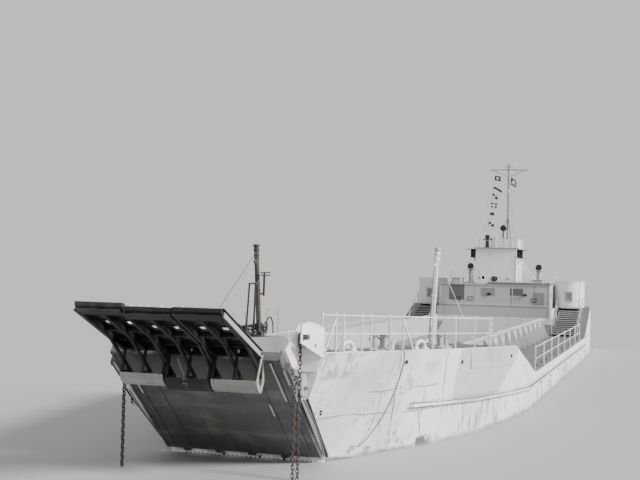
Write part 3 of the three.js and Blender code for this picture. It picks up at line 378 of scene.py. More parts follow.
paints = {
    "offWhite": (0.82, 0.81, 0.79, 1.0), "paleGrey": (0.48, 0.48, 0.48, 1.0),
    "midGrey": (0.25, 0.25, 0.25, 1.0),
    "deckGrey": (0.117, 0.117, 0.117, 1.0), "doorGrey": (0.09, 0.09, 0.09, 1.0),
    # near black: black paint with painted shade of the extension's shadowed underside added to it
    "shadedBlack": (0.004, 0.004, 0.004, 1.0),
    "bottomGrey": (0.055, 0.055, 0.06, 1.0), "camouflageDark": (0.12, 0.12, 0.12, 1.0),
}
finishes = {
    "hullPaint": {"Soiling": 0.35, "Runs": 0.75, "Spots": 0.7, "Edges": 0.5, "Gloss": 0.5, "Run Width": 11.0},
    "whitePaint": {"Soiling": 0.3, "Runs": 0.45, "Spots": 0.5, "Edges": 0.55, "Gloss": 0.5,
                   "Run Width": 16.0},
    "greyPaint": {"Soiling": 0.4, "Runs": 0.5, "Spots": 0.5, "Edges": 0.5, "Gloss": 0.6, "Run Width": 14.0},
    "deckPaint": {"Soiling": 0.7, "Runs": 0.3, "Spots": 0.9, "Edges": 0.8, "Gloss": 0.75, "Run Width": 14.0},
    "doorPaint": {"Soiling": 0.75, "Runs": 0.8, "Spots": 0.8, "Edges": 0.7, "Gloss": 0.62, "Run Width": 13.0},
    "blackPaint": {"Soiling": 0.35, "Runs": 0.4, "Spots": 0.5, "Edges": 0.5, "Gloss": 0.5, "Run Width": 18.0},
    "darkSteel": {"Soiling": 0.6, "Runs": 0.6, "Spots": 0.9, "Edges": 0.7, "Gloss": 0.6, "Run Width": 26.0},
    "bottomPaint": {"Soiling": 0.8, "Runs": 0.5, "Spots": 0.8, "Edges": 0.4, "Gloss": 0.7, "Run Width": 9.0},
}


def newMaterial(name):
    material = bpy.data.materials.new(name)
    material.use_nodes = True
    return material, material.node_tree, material.node_tree.nodes["Principled BSDF"]


# weathered paint over a colour that may itself be a pattern
def paintMaterial(name, finish, paint, bump=0.12, dish=0.0, metal=0.0):
    material, tree, surface = newMaterial(name)
    color = paint(tree) if callable(paint) else paint
    worn = useGroup(tree, weathering, {**finishes[finish], "Paint": color})
    tree.links.new(worn["Color"], surface.inputs["Base Color"])
    tree.links.new(worn["Roughness"], surface.inputs["Roughness"])
    surface.inputs["Metallic"].default_value = metal
    fine = put(tree, "ShaderNodeBump", {"Height": worn["Height"], "Strength": 0.35, "Distance": 0.1 * bump})
    if dish:
        waves = useGroup(tree, dishing, {"Frame Space": 0.6})["Height"]
        broad = put(tree, "ShaderNodeBump", {"Height": waves, "Strength": 0.5, "Distance": dish})
        tree.links.new(broad.outputs["Normal"], fine.inputs["Normal"])
    tree.links.new(fine.outputs["Normal"], surface.inputs["Normal"])
    return material


hullPattern = {
    "greyFore": 19.35, "greyAft": 12.5, "slant": 1.72, "deckH": 2.7,
    "greyFoot": 1.12,  # pale field on the bow
    "bottomH": -0.12, "wetH": 0.22,
}

# stains on the sides: x from, x to, h from, h to, stretch of their pattern, where it cuts, how much of it
hullGrime = [
    (22.0, 22.6, 1.65, 2.15, (9.0, 9.0, 9.0), 0.52, 1.0),
    (20.8, 24.6, 0.3, 2.5, (12.0, 12.0, 0.8), 0.54, 0.6),
    (13.8, 20.2, 0.1, 1.1, (9.0, 9.0, 0.9), 0.52, 0.7),
    (20.3, 23.4, 0.0, 0.3, (3.5, 3.5, 5.0), 0.44, 1.0),
    (25.5, 27.2, 2.4, 3.2, (8.0, 8.0, 3.0), 0.48, 0.75),
    (-24.0, 12.0, 0.0, 0.6, (4.0, 4.0, 1.6), 0.5, 0.7),
]


def hullColors(tree):
    p = hullPattern
    place = axes(tree, onObject(tree))
    facing = axes(tree, normalOf(tree))
    x, y, z = place["X"], place["Y"], place["Z"]
    ragged = calc(tree, "MULTIPLY", calc(tree, "SUBTRACT", noise(tree, onObject(tree), 3.0, 4.0), 0.5), 0.15)
    lean = calc(tree, "MULTIPLY", calc(tree, "SUBTRACT", (p["deckH"] + waterline) * modelScale, z),
                p["slant"])
    shifted = calc(tree, "SUBTRACT", calc(tree, "ADD", x, ragged), lean)
    aft = remap(tree, shifted, (p["greyAft"] - 0.05) * modelScale, (p["greyAft"] + 0.05) * modelScale)
    fore = remap(tree, calc(tree, "ADD", x, ragged), (p["greyFore"] - 0.1) * modelScale,
                 (p["greyFore"] + 0.1) * modelScale, 1.0, 0.0)
    footLevel = (p["greyFoot"] + waterline) * modelScale
    over = remap(tree, z, footLevel - 0.01, footLevel + 0.01)
    field = calc(tree, "MULTIPLY", calc(tree, "MULTIPLY", aft, fore), over)
    color = mixColor(tree, field, paints["offWhite"], (0.55, 0.55, 0.55, 1.0))
    for low, high, foot, top, stretch, cut, amount in hullGrime:
        across = between(tree, x, low, high, 0.3)
        up = between(tree, z, foot + waterline, top + waterline, 0.1)
        speckled = remap(tree, noise(tree, stretched(tree, onObject(tree), *stretch), 1.0, 6.0, 0.65), cut,
                         cut + 0.08)
        stain = calc(tree, "MULTIPLY", calc(tree, "MULTIPLY", across, up), speckled)
        color = mixColor(tree, calc(tree, "MULTIPLY", stain, amount), color, (0.12, 0.11, 0.1, 1.0))
    bowShade = remap(tree, x, 21.8 * modelScale, 22.6 * modelScale)
    color = mixColor(tree, calc(tree, "MULTIPLY", bowShade, 0.35), color, paints["paleGrey"])
    inboard = remap(tree, calc(tree, "MULTIPLY", calc(tree, "MULTIPLY", y, facing["Y"]), -1.0), 0.3, 0.6)
    color = mixColor(tree, inboard, color, paints["midGrey"])
    deck = remap(tree, facing["Z"], 0.8, 0.93)
    color = mixColor(tree, deck, color, paints["deckGrey"])
    level = waterline * modelScale
    wet = remap(tree, calc(tree, "ADD", z, ragged), level, level + p["wetH"] * modelScale, 0.75, 0.0)
    color = mixColor(tree, wet, color, (0.13, 0.13, 0.115, 1.0))
    bottom = remap(tree, z, level + (p["bottomH"] - 0.03) * modelScale, level + p["bottomH"] * modelScale,
                   1.0, 0.0)
    return mixColor(tree, bottom, color, paints["bottomGrey"])


def deckhouseColors(tree):
    place = axes(tree, onObject(tree))
    facing = axes(tree, normalOf(tree))
    color = (0.47, 0.48, 0.47, 1.0)
    patches = [  # y from, y to, h from, h to, paint
        (1.02, 1.86, 3.66, 4.12, "camouflageDark"), (-0.85, 0.06, 3.6, 4.12, "midGrey"),
        (2.45, 3.2, 3.1, 3.9, "midGrey"), (-2.9, -1.9, 3.3, 4.3, "camouflageDark"),
    ]
    for low, high, foot, top, paint in patches:
        across = between(tree, place["Y"], low, high, 0.03)
        up = between(tree, place["Z"], foot + waterline, top + waterline, 0.03)
        color = mixColor(tree, calc(tree, "MULTIPLY", across, up), color, paints[paint])
    broad = remap(tree, noise(tree, stretched(tree, onObject(tree), 0.9, 0.2, 0.9), 1.0, 1.0), 0.55, 0.57)
    sides = remap(tree, calc(tree, "ABSOLUTE", facing["Y"]), 0.6, 0.8)
    color = mixColor(tree, calc(tree, "MULTIPLY", broad, sides), color, paints["midGrey"])
    return mixColor(tree, remap(tree, facing["Z"], 0.8, 0.93), color, paints["deckGrey"])


def whiteOverDeck(tree):
    facing = axes(tree, normalOf(tree))
    return mixColor(tree, remap(tree, facing["Z"], 0.85, 0.95), paints["offWhite"], paints["midGrey"])


def doorColors(tree):
    place = onObject(tree)
    z = axes(tree, place)["Z"]
    band = noise(tree, stretched(tree, place, 2.4, 0.5, 2.4), 1.0, 8.0, 0.62)
    scuffed = remap(tree, band, 0.5, 0.66)
    color = mixColor(tree, scuffed, paints["doorGrey"], (0.15, 0.15, 0.145, 1.0))
    slant = put(tree, "ShaderNodeVectorRotate", {"Vector": place, "Angle": 0.9},
                rotation_type="X_AXIS").outputs[0]
    scrape = remap(tree, noise(tree, stretched(tree, slant, 1.0, 1.6, 14.0), 1.0, 6.0, 0.7), 0.6, 0.68)
    foot = remap(tree, z, (waterline + 0.3) * modelScale, (waterline + 1.5) * modelScale, 1.0, 0.0)
    color = mixColor(tree, calc(tree, "MULTIPLY", scrape, foot), color, (0.02, 0.019, 0.018, 1.0))
    bare = remap(tree, noise(tree, stretched(tree, place, 3.0, 1.0, 3.0), 1.0, 9.0, 0.7), 0.62, 0.7)
    return mixColor(tree, bare, color, (0.24, 0.23, 0.215, 1.0))


# colour of every blackPaint piece, made for the extension's underside: black paint darkened to near black as
# painted shade, mottled with dust; faces that look up take deck grey
def extensionColors(tree):
    place = onObject(tree)
    dustOnShade = remap(tree, noise(tree, stretched(tree, place, 1.4, 1.4, 1.4), 1.0, 8.0, 0.65), 0.52, 0.72)
    color = mixColor(tree, dustOnShade, paints["shadedBlack"], (0.014, 0.014, 0.014, 1.0))
    up = axes(tree, normalOf(tree))["Z"]
    return mixColor(tree, remap(tree, up, 0.7, 0.9), color, paints["deckGrey"])


def makeMaterials():
    made = {
        "hullPaint": paintMaterial("hullPaint", "hullPaint", hullColors, dish=0.012),
        "whitePaint": paintMaterial("whitePaint", "whitePaint", whiteOverDeck),
        "plainWhite": paintMaterial("plainWhite", "whitePaint", paints["offWhite"]),
        "greyPaint": paintMaterial("greyPaint", "greyPaint", paints["paleGrey"]),
        "midPaint": paintMaterial("midPaint", "greyPaint", paints["midGrey"]),
        "housePaint": paintMaterial("housePaint", "greyPaint", deckhouseColors),
        "deckPaint": paintMaterial("deckPaint", "deckPaint", paints["deckGrey"]),
        "doorPaint": paintMaterial("doorPaint", "doorPaint", doorColors, bump=0.3),
        "blackPaint": paintMaterial("blackPaint", "blackPaint", extensionColors),
        "darkSteel": paintMaterial("darkSteel", "darkSteel", (0.05, 0.047, 0.044, 1.0), bump=0.3, metal=0.35),
        "paleSteel": paintMaterial("paleSteel", "darkSteel", (0.42, 0.41, 0.39, 1.0), bump=0.2),
        "bottomPaint": paintMaterial("bottomPaint", "bottomPaint", paints["bottomGrey"]),
        "toeGrey": paintMaterial("toeGrey", "doorPaint", (0.3, 0.3, 0.29, 1.0), bump=0.25),
    }
    made["bronze"] = makeBronze()
    made["hemp"] = makeHemp()
    made["glass"] = makeGlass()
    made["dark"] = makeShadedOpening()
    return made


def makeBronze():
    material, tree, surface = newMaterial("bronze")
    stain = useGroup(tree, soil, {"Scale": 6.0, "Cut": 0.45, "Soft": 0.2})["Mask"]
    color = mixColor(tree, stain, (0.42, 0.26, 0.1, 1.0), (0.12, 0.14, 0.09, 1.0))
    tree.links.new(color, surface.inputs["Base Color"])
    tree.links.new(remap(tree, stain, 0.0, 1.0, 0.3, 0.65), surface.inputs["Roughness"])
    surface.inputs["Metallic"].default_value = 0.9
    return material


ropeLook = {"strandLength": 0.045, "fuzz": 260.0}


# hemp: laid strands that wind round the cord, and loose fibres
def makeHemp():
    material, tree, surface = newMaterial("hemp")
    place = onObject(tree)
    slant = put(tree, "ShaderNodeVectorRotate", {"Vector": place, "Angle": 0.6},
                rotation_type="Y_AXIS").outputs[0]
    values = {"Vector": slant, "Scale": 1.0 / ropeLook["strandLength"], "Distortion": 0.6}
    lay = put(tree, "ShaderNodeTexWave", values, bands_direction="Z").outputs["Fac"]
    fibres = noise(tree, place, ropeLook["fuzz"], 5.0, 0.7)
    color = mixColor(tree, remap(tree, lay, 0.1, 0.6), (0.09, 0.088, 0.08, 1.0), (0.42, 0.41, 0.38, 1.0))
    color = mixColor(tree, remap(tree, fibres, 0.4, 0.7, 0.0, 0.5), color, (0.2, 0.195, 0.18, 1.0))
    tree.links.new(color, surface.inputs["Base Color"])
    surface.inputs["Roughness"].default_value = 0.95
    high = calc(tree, "ADD", lay, calc(tree, "MULTIPLY", fibres, 0.3))
    bump = put(tree, "ShaderNodeBump", {"Height": high, "Strength": 0.8, "Distance": 0.004})
    tree.links.new(bump.outputs["Normal"], surface.inputs["Normal"])
    return material


def makeGlass():
    material, tree, surface = newMaterial("windowGlass")
    streak = noise(tree, stretched(tree, onObject(tree), 14.0, 14.0, 4.0), 1.0, 4.0)
    color = mixColor(tree, remap(tree, streak, 0.35, 0.7), (0.012, 0.014, 0.016, 1.0),
                     (0.05, 0.055, 0.06, 1.0))
    tree.links.new(color, surface.inputs["Base Color"])
    tree.links.new(remap(tree, streak, 0.3, 0.7, 0.06, 0.2), surface.inputs["Roughness"])
    surface.inputs["Specular IOR Level"].default_value = 0.7
    return material


# near black for openings: painted shade of the hollow inside them, with a little mottle
def makeShadedOpening():
    material, tree, surface = newMaterial("shadedOpening")
    dustOnShade = noise(tree, onObject(tree), 9.0, 4.0)
    tree.links.new(mixColor(tree, dustOnShade, (0.006, 0.006, 0.006, 1.0), (0.02, 0.02, 0.02, 1.0)),
                   surface.inputs["Base Color"])
    surface.inputs["Roughness"].default_value = 0.9
    return material


materials = makeMaterials()

nodeFinishes = {
    "hull_bottom": "hullPaint", "bow_wing": "hullPaint", "side_wing": "hullPaint", "stern_block": "hullPaint",
    "rubbing_strake": "hullPaint", "bow_sill": "plainWhite", "well_coaming": "greyPaint",
    "deckhouse": "housePaint",
    "deckhouse_door": "plainWhite", "funnel": "greyPaint", "engine_hatch": "greyPaint",
    "side_steps": "deckPaint",
    "bow_ramp": "doorPaint", "extension_bay": "blackPaint", "door_chain": "darkSteel",
    "horn_chain": "darkSteel",
    "bitts": "paleSteel", "skeg": "bottomPaint", "rudder": "bottomPaint", "kedge": "darkSteel",
    "bridge_ladder": "plainWhite", "propeller": "bronze", "bow_rope": "hemp", "signal_lamp": "darkSteel",
    "kingpost_stbd": "darkSteel", "kingpost_port": "greyPaint", "mast": "midPaint",
    "wheelhouse": "whitePaint",
    "bridge_roof": "whitePaint", "lookout_tub": "whitePaint", "chain_horn": "plainWhite",
    "rail": "plainWhite",
}


# the finish whose name fits the node best
def finishOf(name):
    fits = [key for key in nodeFinishes if key in name]
    return nodeFinishes[max(fits, key=len)] if fits else "whitePaint"


def paintNodes():
    for name in nodes:
        piece = bpy.data.objects[name]
        material = materials[finishOf(name)]
        if piece.material_slots:
            for slot in piece.material_slots:
                slot.material = material
        else:
            piece.data.materials.append(material)
    bowRope.data.materials.append(materials["hemp"])


paintNodes()
print("materials:", len(materials))

# shapes in real metres: x to the bow, y to port, h over the waterline


def addFaces(bm, corners, faces):
    verts = [bm.verts.new(corner) for corner in corners]
    for face in faces:
        bm.faces.new([verts[index] for index in face])
    return verts


boxFaces = ((0, 3, 2, 1), (4, 5, 6, 7), (0, 1, 5, 4), (1, 2, 6, 5), (2, 3, 7, 6), (3, 0, 4, 7))


def addBox(bm, low, high):
    (a, b, c), (d, e, f) = low, high
    corners = [(a, b, c), (d, b, c), (d, e, c), (a, e, c), (a, b, f), (d, b, f), (d, e, f), (a, e, f)]
    addFaces(bm, corners, boxFaces)


# a flat outline pushed along a line, the outline as 3-D points
def addPlate(bm, outline, push):
    count = len(outline)
    push = Vector(push)
    corners = [Vector(point) for point in outline]
    corners += [point + push for point in corners]
    faces = [tuple(range(count))[::-1], tuple(range(count, 2 * count))]
    faces += [(i, (i + 1) % count, count + (i + 1) % count, count + i) for i in range(count)]
    addFaces(bm, corners, faces)


def frameAlong(direction, lean=None):
    direction = direction.normalized()
    lean = lean or (Vector((0, 0, 1)) if abs(direction.z) < 0.9 else Vector((0, 1, 0)))
    side = direction.cross(lean).normalized()
    return side, side.cross(direction).normalized()


def addBar(bm, start, end, width, depth=None, lean=None):
    start, end = Vector(start), Vector(end)
    side, over = frameAlong(end - start, lean)
    side, over = side * width / 2, over * (depth or width) / 2
    corners = []
    for middle in (start, end):
        corners += [middle - side - over, middle + side - over, middle + side + over, middle - side + over]
    addFaces(bm, corners, boxFaces)


# a round bar through points, closed at its ends or round a loop
def addTube(bm, points, radius, sides=8, loop=False):
    points = [Vector(point) for point in points]
    count = len(points)
    radii = radius if isinstance(radius, (list, tuple)) else [radius] * count
    rings = []
    side = None
    for index, point in enumerate(points):
        before = points[index - 1] if index or loop else point
        after = points[(index + 1) % count] if index + 1 < count or loop else point
        direction = (after - before).normalized()
        if side is None:
            side, _ = frameAlong(direction)
        side = (side - direction * side.dot(direction)).normalized()
        over = direction.cross(side)
        turns = [2 * math.pi * k / sides for k in range(sides)]
        ring = [point + (side * math.cos(t) + over * math.sin(t)) * radii[index] for t in turns]
        rings.append([bm.verts.new(corner) for corner in ring])
    pairs = list(zip(rings, rings[1:])) + ([(rings[-1], rings[0])] if loop else [])
    for low, high in pairs:
        for k in range(sides):
            bm.faces.new((low[k], low[(k + 1) % sides], high[(k + 1) % sides], high[k]))
    if not loop:
        bm.faces.new(rings[0][::-1])
        bm.faces.new(rings[-1])


def addRing(bm, middle, axis, radius, thick, steps=24, sides=8):
    side, over = frameAlong(Vector(axis))
    turns = [2 * math.pi * k / steps for k in range(steps)]
    points = [Vector(middle) + (side * math.cos(t) + over * math.sin(t)) * radius for t in turns]
    addTube(bm, points, thick, sides, loop=True)


# a place on a level circle
def around(x, y, radius, turn, h):
    return (x + radius * math.cos(turn), y + radius * math.sin(turn), h)


# a turned shape: pairs of radius and distance along the axis
def addTurned(bm, foot, axis, profile, steps=20):
    axis = Vector(axis).normalized()
    points = [Vector(foot) + axis * along for _, along in profile]
    side, over = frameAlong(axis)
    rings = []
    for point, (radius, _) in zip(points, profile):
        turns = [2 * math.pi * k / steps for k in range(steps)]
        rings.append([bm.verts.new(point + (side * math.cos(t) + over * math.sin(t)) * radius)
                      for t in turns])
    for low, high in zip(rings, rings[1:]):
        for k in range(steps):
            bm.faces.new((low[k], low[(k + 1) % steps], high[(k + 1) % steps], high[k]))
    bm.faces.new(rings[0][::-1])
    bm.faces.new(rings[-1])


# turns the shape into a model-size piece on its body; both=True adds its mirror image across the centreline
def finishPiece(bm, name, material, body="hull", both=False, bevel=0.0, stands=()):
    if both:
        parts = bmesh.ops.duplicate(bm, geom=bm.verts[:] + bm.edges[:] + bm.faces[:])["geom"]
        copies = [item for item in parts if isinstance(item, bmesh.types.BMVert)]
        for vert in copies:
            vert.co.y *= -1
    bmesh.ops.recalc_face_normals(bm, faces=bm.faces[:])
    for vert in bm.verts:
        vert.co = at(*vert.co)
    mesh = bpy.data.meshes.new(name)
    bm.to_mesh(mesh)
    bm.free()
    return placePiece(mesh, name, material, body, bevel, stands)


def placePiece(mesh, name, material, body="hull", bevel=0.0, stands=()):
    mesh.materials.clear()
    mesh.materials.append(materials[material])
    for face in mesh.polygons:
        face.use_smooth = True
    mesh.set_sharp_from_angle(angle=math.radians(38))
    piece = bpy.data.objects.new(name, mesh)
    bpy.context.scene.collection.objects.link(piece)
    if bevel:
        rounded = piece.modifiers.new("roundedEdges", "BEVEL")
        rounded.width = bevel * modelScale
        rounded.segments = 2
        rounded.limit_method = "ANGLE"
        rounded.angle_limit = math.radians(40)
    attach(piece, body)
    if stands:
        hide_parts(*stands)
    return piece


# the hull's own lines, as the solids have them

hullStations = [
    # x, half-breadth at the waterline, half-breadth at the deck
    (24.785, 2.32, 3.7), (22.4, 3.3, 4.2), (20.0, 4.3, 4.75), (17.6, 4.95, 5.25), (13.6, 5.6, 5.82),
    (10.6, 5.88, 5.905), (8.4, 5.905, 5.905),
]
shoulder = {"top": 13.6, "foot": 8.4, "tankDeck": 0.2, "sideDeck": 1.25, "roof": 4.4}


def lerp(a, b, t):
    return a + (b - a) * t


def foreDeck(x):
    return 3 + 0.036 * (x - 24.785)


def wingTop(x):
    down = max(0.0, (shoulder["top"] - x) / (shoulder["top"] - shoulder["foot"]))
    return foreDeck(max(x, shoulder["top"])) * (1 - down) + shoulder["sideDeck"] * down


# half-breadth of the hull's side at a place and height
def sideAt(x, h):
    if x > hullStations[0][0]:
        water, deck = 2.32, 3.7
        rise = (h - shoulder["tankDeck"]) / (foreDeck(x) - shoulder["tankDeck"])
        half = lerp(water, deck, min(1.0, max(0.0, rise)))
        ahead = (x - 24.785) / (27.25 - 24.785)
        footH, deckH = 1.92, foreDeck(27.25)
        front = lerp(2.49, 2.87, min(1.0, max(0.0, (h - footH) / (deckH - footH))))
        return lerp(half, front, ahead)
    for fore, aft in zip(hullStations, hullStations[1:]):
        if fore[0] >= x >= aft[0]:
            t = (fore[0] - x) / (fore[0] - aft[0])
            water, deck = lerp(fore[1], aft[1], t), lerp(fore[2], aft[2], t)
            rise = (h - shoulder["tankDeck"]) / (wingTop(x) - shoulder["tankDeck"])
            return lerp(water, deck, min(1.0, max(0.0, rise)))
    if x > -20.5:
        return 5.905
    return lerp(5.905, 5.8, (x + 20.5) / -3.9) if x > -24.4 else lerp(5.8, 5.45, (x + 24.4) / -4.135)


def onSide(x, h, out=0.0):
    return Vector((x, sideAt(x, h) + out, h))


# a poly line on the side from corner to corner, with points close enough to follow it
def lineOnSide(corners, out=0.0, step=0.35):
    points = []
    for (x0, h0), (x1, h1) in zip(corners, corners[1:]):
        count = max(1, round(math.hypot(x1 - x0, h1 - h0) / step))
        points += [onSide(lerp(x0, x1, k / count), lerp(h0, h1, k / count), out) for k in range(count)]
    return [*points, onSide(*corners[-1], out)]


# Geometry Nodes: shapes repeated along paths


def newGrowth(name, inputs):
    tree = bpy.data.node_groups.new(name, "GeometryNodeTree")
    tree.interface.new_socket(name="Path", in_out="INPUT", socket_type="NodeSocketGeometry")
    for label, value in inputs.items():
        kind = "NodeSocketMaterial" if value is None else socketKinds[type(value)]
        socket = tree.interface.new_socket(name=label, in_out="INPUT", socket_type=kind)
        if value is not None:
            socket.default_value = value
    tree.interface.new_socket(name="Geometry", in_out="OUTPUT", socket_type="NodeSocketGeometry")
    given = tree.nodes.new("NodeGroupInput").outputs
    return tree, given


def endGrowth(tree, shape, material):
    real = put(tree, "GeometryNodeRealizeInstances", {"Geometry": shape}).outputs[0]
    painted = put(tree, "GeometryNodeSetMaterial", {"Geometry": real, "Material": material}).outputs[0]
    result = tree.nodes.new("NodeGroupOutput")
    tree.links.new(painted, result.inputs["Geometry"])


# paths as a mesh of edges, each point knowing which way its surface faces
def pathObject(name, paths, facings=None):
    corners, edges, faces = [], [], []
    for index, path in enumerate(paths):
        start = len(corners)
        corners += [at(*point) for point in path]
        edges += [(start + k, start + k + 1) for k in range(len(path) - 1)]
        faces += [facings[index] if facings else (0, 0, 1)] * len(path)
    mesh = bpy.data.meshes.new(name)
    mesh.from_pydata(corners, edges, [])
    facing = mesh.attributes.new("facing", "FLOAT_VECTOR", "POINT")
    for item, value in zip(facing.data, faces):
        item.vector = value
    path = bpy.data.objects.new(name, mesh)
    bpy.context.scene.collection.objects.link(path)
    return path


# runs a growth on its path and keeps the plain mesh
def grow(tree, path, values, name, material, body="hull", stands=()):
    modifier = path.modifiers.new("growth", "NODES")
    modifier.node_group = tree
    for item in tree.interface.items_tree:
        if item.in_out == "INPUT" and item.name in values:
            modifier[item.identifier] = values[item.name]
        elif item.in_out == "INPUT" and item.name == "Material":
            modifier[item.identifier] = materials[material]
    seen = path.evaluated_get(bpy.context.evaluated_depsgraph_get())
    mesh = bpy.data.meshes.new_from_object(seen)
    path.modifiers.remove(modifier)
    bpy.data.objects.remove(path)
    mesh.name = name
    return placePiece(mesh, name, material, body, stands=stands)


# chain: oval links threaded along a line, every other one turned a quarter
def makeChainGrowth():
    tree, given = newGrowth("chainLinks",
                            {"Pitch": 0.04, "Long": 0.056, "Wide": 0.034, "Wire": 0.006, "Material": None})
    line = put(tree, "GeometryNodeMeshToCurve", {"Mesh": given["Path"]}).outputs[0]
    points = put(tree, "GeometryNodeResampleCurve", {"Curve": line, "Length": given["Pitch"]},
                 mode="LENGTH").outputs[0]
    oval = put(tree, "GeometryNodeCurvePrimitiveCircle", {"Resolution": 10, "Radius": 0.5}).outputs[0]
    size = put(tree, "ShaderNodeCombineXYZ", {"X": given["Wide"], "Y": given["Long"], "Z": 1.0}).outputs[0]
    oval = put(tree, "GeometryNodeTransform", {"Geometry": oval, "Scale": size}).outputs[0]
    wire = put(tree, "GeometryNodeCurvePrimitiveCircle",
               {"Resolution": 5, "Radius": given["Wire"]}).outputs[0]
    link = put(tree, "GeometryNodeCurveToMesh", {"Curve": oval, "Profile Curve": wire}).outputs[0]
    along = put(tree, "GeometryNodeInputTangent").outputs[0]
    turn = put(tree, "FunctionNodeAlignRotationToVector", {"Vector": along}, axis="Y").outputs[0]
    index = put(tree, "GeometryNodeInputIndex").outputs[0]
    quarter = calc(tree, "MULTIPLY", calc(tree, "MODULO", index, 2.0), math.pi / 2)
    spin = put(tree, "FunctionNodeAxisAngleToRotation",
               {"Axis": (0.0, 1.0, 0.0), "Angle": quarter}).outputs[0]
    both = put(tree, "FunctionNodeRotateRotation", {"Rotation": turn, "Rotate By": spin},
               rotation_space="LOCAL").outputs[0]
    placed = put(tree, "GeometryNodeInstanceOnPoints",
                 {"Points": points, "Instance": link, "Rotation": both}).outputs[0]
    endGrowth(tree, placed, given["Material"])
    return tree


# studs: low domed heads in a row, standing the way their surface faces
def makeStudGrowth():
    tree, given = newGrowth("studRow", {"Space": 0.1, "Head": 0.012, "High": 0.006, "Material": None})
    line = put(tree, "GeometryNodeMeshToCurve", {"Mesh": given["Path"]}).outputs[0]
    points = put(tree, "GeometryNodeResampleCurve", {"Curve": line, "Length": given["Space"]},
                 mode="LENGTH").outputs[0]
    values = {"Vertices": 7, "Radius Top": calc(tree, "MULTIPLY", given["Head"], 0.55),
              "Radius Bottom": given["Head"],
              "Depth": given["High"]}
    head = put(tree, "GeometryNodeMeshCone", values, fill_type="NGON").outputs["Mesh"]
    facing = put(tree, "GeometryNodeInputNamedAttribute", {"Name": "facing"},
                 data_type="FLOAT_VECTOR").outputs[0]
    turn = put(tree, "FunctionNodeAlignRotationToVector", {"Vector": facing}, axis="Z").outputs[0]
    placed = put(tree, "GeometryNodeInstanceOnPoints",
                 {"Points": points, "Instance": head, "Rotation": turn}).outputs[0]
    endGrowth(tree, placed, given["Material"])
    return tree


# bars laid across a path at even steps
def makeBarGrowth():
    tree, given = newGrowth("crossBars",
                            {"Space": 0.3, "Long": 1.0, "Wide": 0.02, "High": 0.01, "Material": None})
    line = put(tree, "GeometryNodeMeshToCurve", {"Mesh": given["Path"]}).outputs[0]
    points = put(tree, "GeometryNodeResampleCurve", {"Curve": line, "Length": given["Space"]},
                 mode="LENGTH").outputs[0]
    size = put(tree, "ShaderNodeCombineXYZ",
               {"X": given["Wide"], "Y": given["Long"], "Z": given["High"]}).outputs[0]
    bar = put(tree, "GeometryNodeMeshCube", {"Size": size}).outputs["Mesh"]
    along = put(tree, "GeometryNodeInputTangent").outputs[0]
    turn = put(tree, "FunctionNodeAlignRotationToVector", {"Vector": along}, axis="X").outputs[0]
    placed = put(tree, "GeometryNodeInstanceOnPoints",
                 {"Points": points, "Instance": bar, "Rotation": turn}).outputs[0]
    endGrowth(tree, placed, given["Material"])
    return tree


# wire wound in turns round a drum, or laid as a flat coil
def makeCoilGrowth():
    inputs = {"Turns": 8.0, "Inner": 0.1, "Outer": 0.1, "Rise": 0.4, "Wire": 0.008, "Material": None}
    tree, given = newGrowth("coil", inputs)
    values = {"Resolution": 16, "Rotations": given["Turns"], "Start Radius": given["Inner"],
              "End Radius": given["Outer"], "Height": given["Rise"]}
    spiral = put(tree, "GeometryNodeCurveSpiral", values).outputs[0]
    wire = put(tree, "GeometryNodeCurvePrimitiveCircle",
               {"Resolution": 6, "Radius": given["Wire"]}).outputs[0]
    winding = put(tree, "GeometryNodeCurveToMesh",
                  {"Curve": spiral, "Profile Curve": wire, "Fill Caps": True}).outputs[0]
    facing = put(tree, "GeometryNodeInputNamedAttribute", {"Name": "facing"},
                 data_type="FLOAT_VECTOR").outputs[0]
    turn = put(tree, "FunctionNodeAlignRotationToVector", {"Vector": facing}, axis="Z").outputs[0]
    placed = put(tree, "GeometryNodeInstanceOnPoints",
                 {"Points": given["Path"], "Instance": winding, "Rotation": turn}).outputs[0]
    endGrowth(tree, placed, given["Material"])
    return tree


chainLinks, studRow, crossBars, coil = makeChainGrowth(), makeStudGrowth(), makeBarGrowth(), makeCoilGrowth()
print("growths built")

# the bow: door, extension, chains and horns

bowDoor = {"pivotX": 24.925, "pivotH": 0.14, "angle": 38.3, "end": 4.75, "half": 2.22, "under": -0.1,
           "ribs": (1.45, 1.95)}
extension = {
    "tipX": 28.7155, "tipH": 3.1336, "angle": 22.7, "long": 2.9, "wide": 1.16, "deep": 0.17,
    "bays": {"stbd": (-1.77, 0.06), "middle": (-0.58, -0.01), "port": (0.61, 0.01)},  # starboard edge, lift
    "slotRows": (0.94, 1.46), "slotColumns": (0.16, 0.71), "slotLong": 0.28, "slotWide": 0.29, "rim": 0.02,
}


def slanted(startX, startH, angle):
    turn = math.radians(angle)

    def place(along, y, up=0.0):
        x = startX + along * math.cos(turn) - up * math.sin(turn)
        return x, y, startH + along * math.sin(turn) + up * math.cos(turn)
    return place


onDoor = slanted(bowDoor["pivotX"], bowDoor["pivotH"], bowDoor["angle"])
onBay = slanted(extension["tipX"], extension["tipH"], extension["angle"])
doorDown = Vector(onDoor(0, 0, -1)) - Vector(onDoor(0, 0, 0))


# a low box drawn on a slanted face
def addSlantedBox(bm, place, alongs, ys, ups, lift=0.0):
    corners = []
    for up in ups:
        for along, y in ((alongs[0], ys[0]), (alongs[1], ys[0]), (alongs[1], ys[1]), (alongs[0], ys[1])):
            x, wide, h = place(along, y, up)
            corners.append((x, wide, h + lift))
    addFaces(bm, corners, boxFaces)


doorFittings = {"seams": (1.42, 2.9), "guideFrom": 2.95, "guideWide": 0.05, "boltSpace": 0.16,
                "boltHead": 0.02}


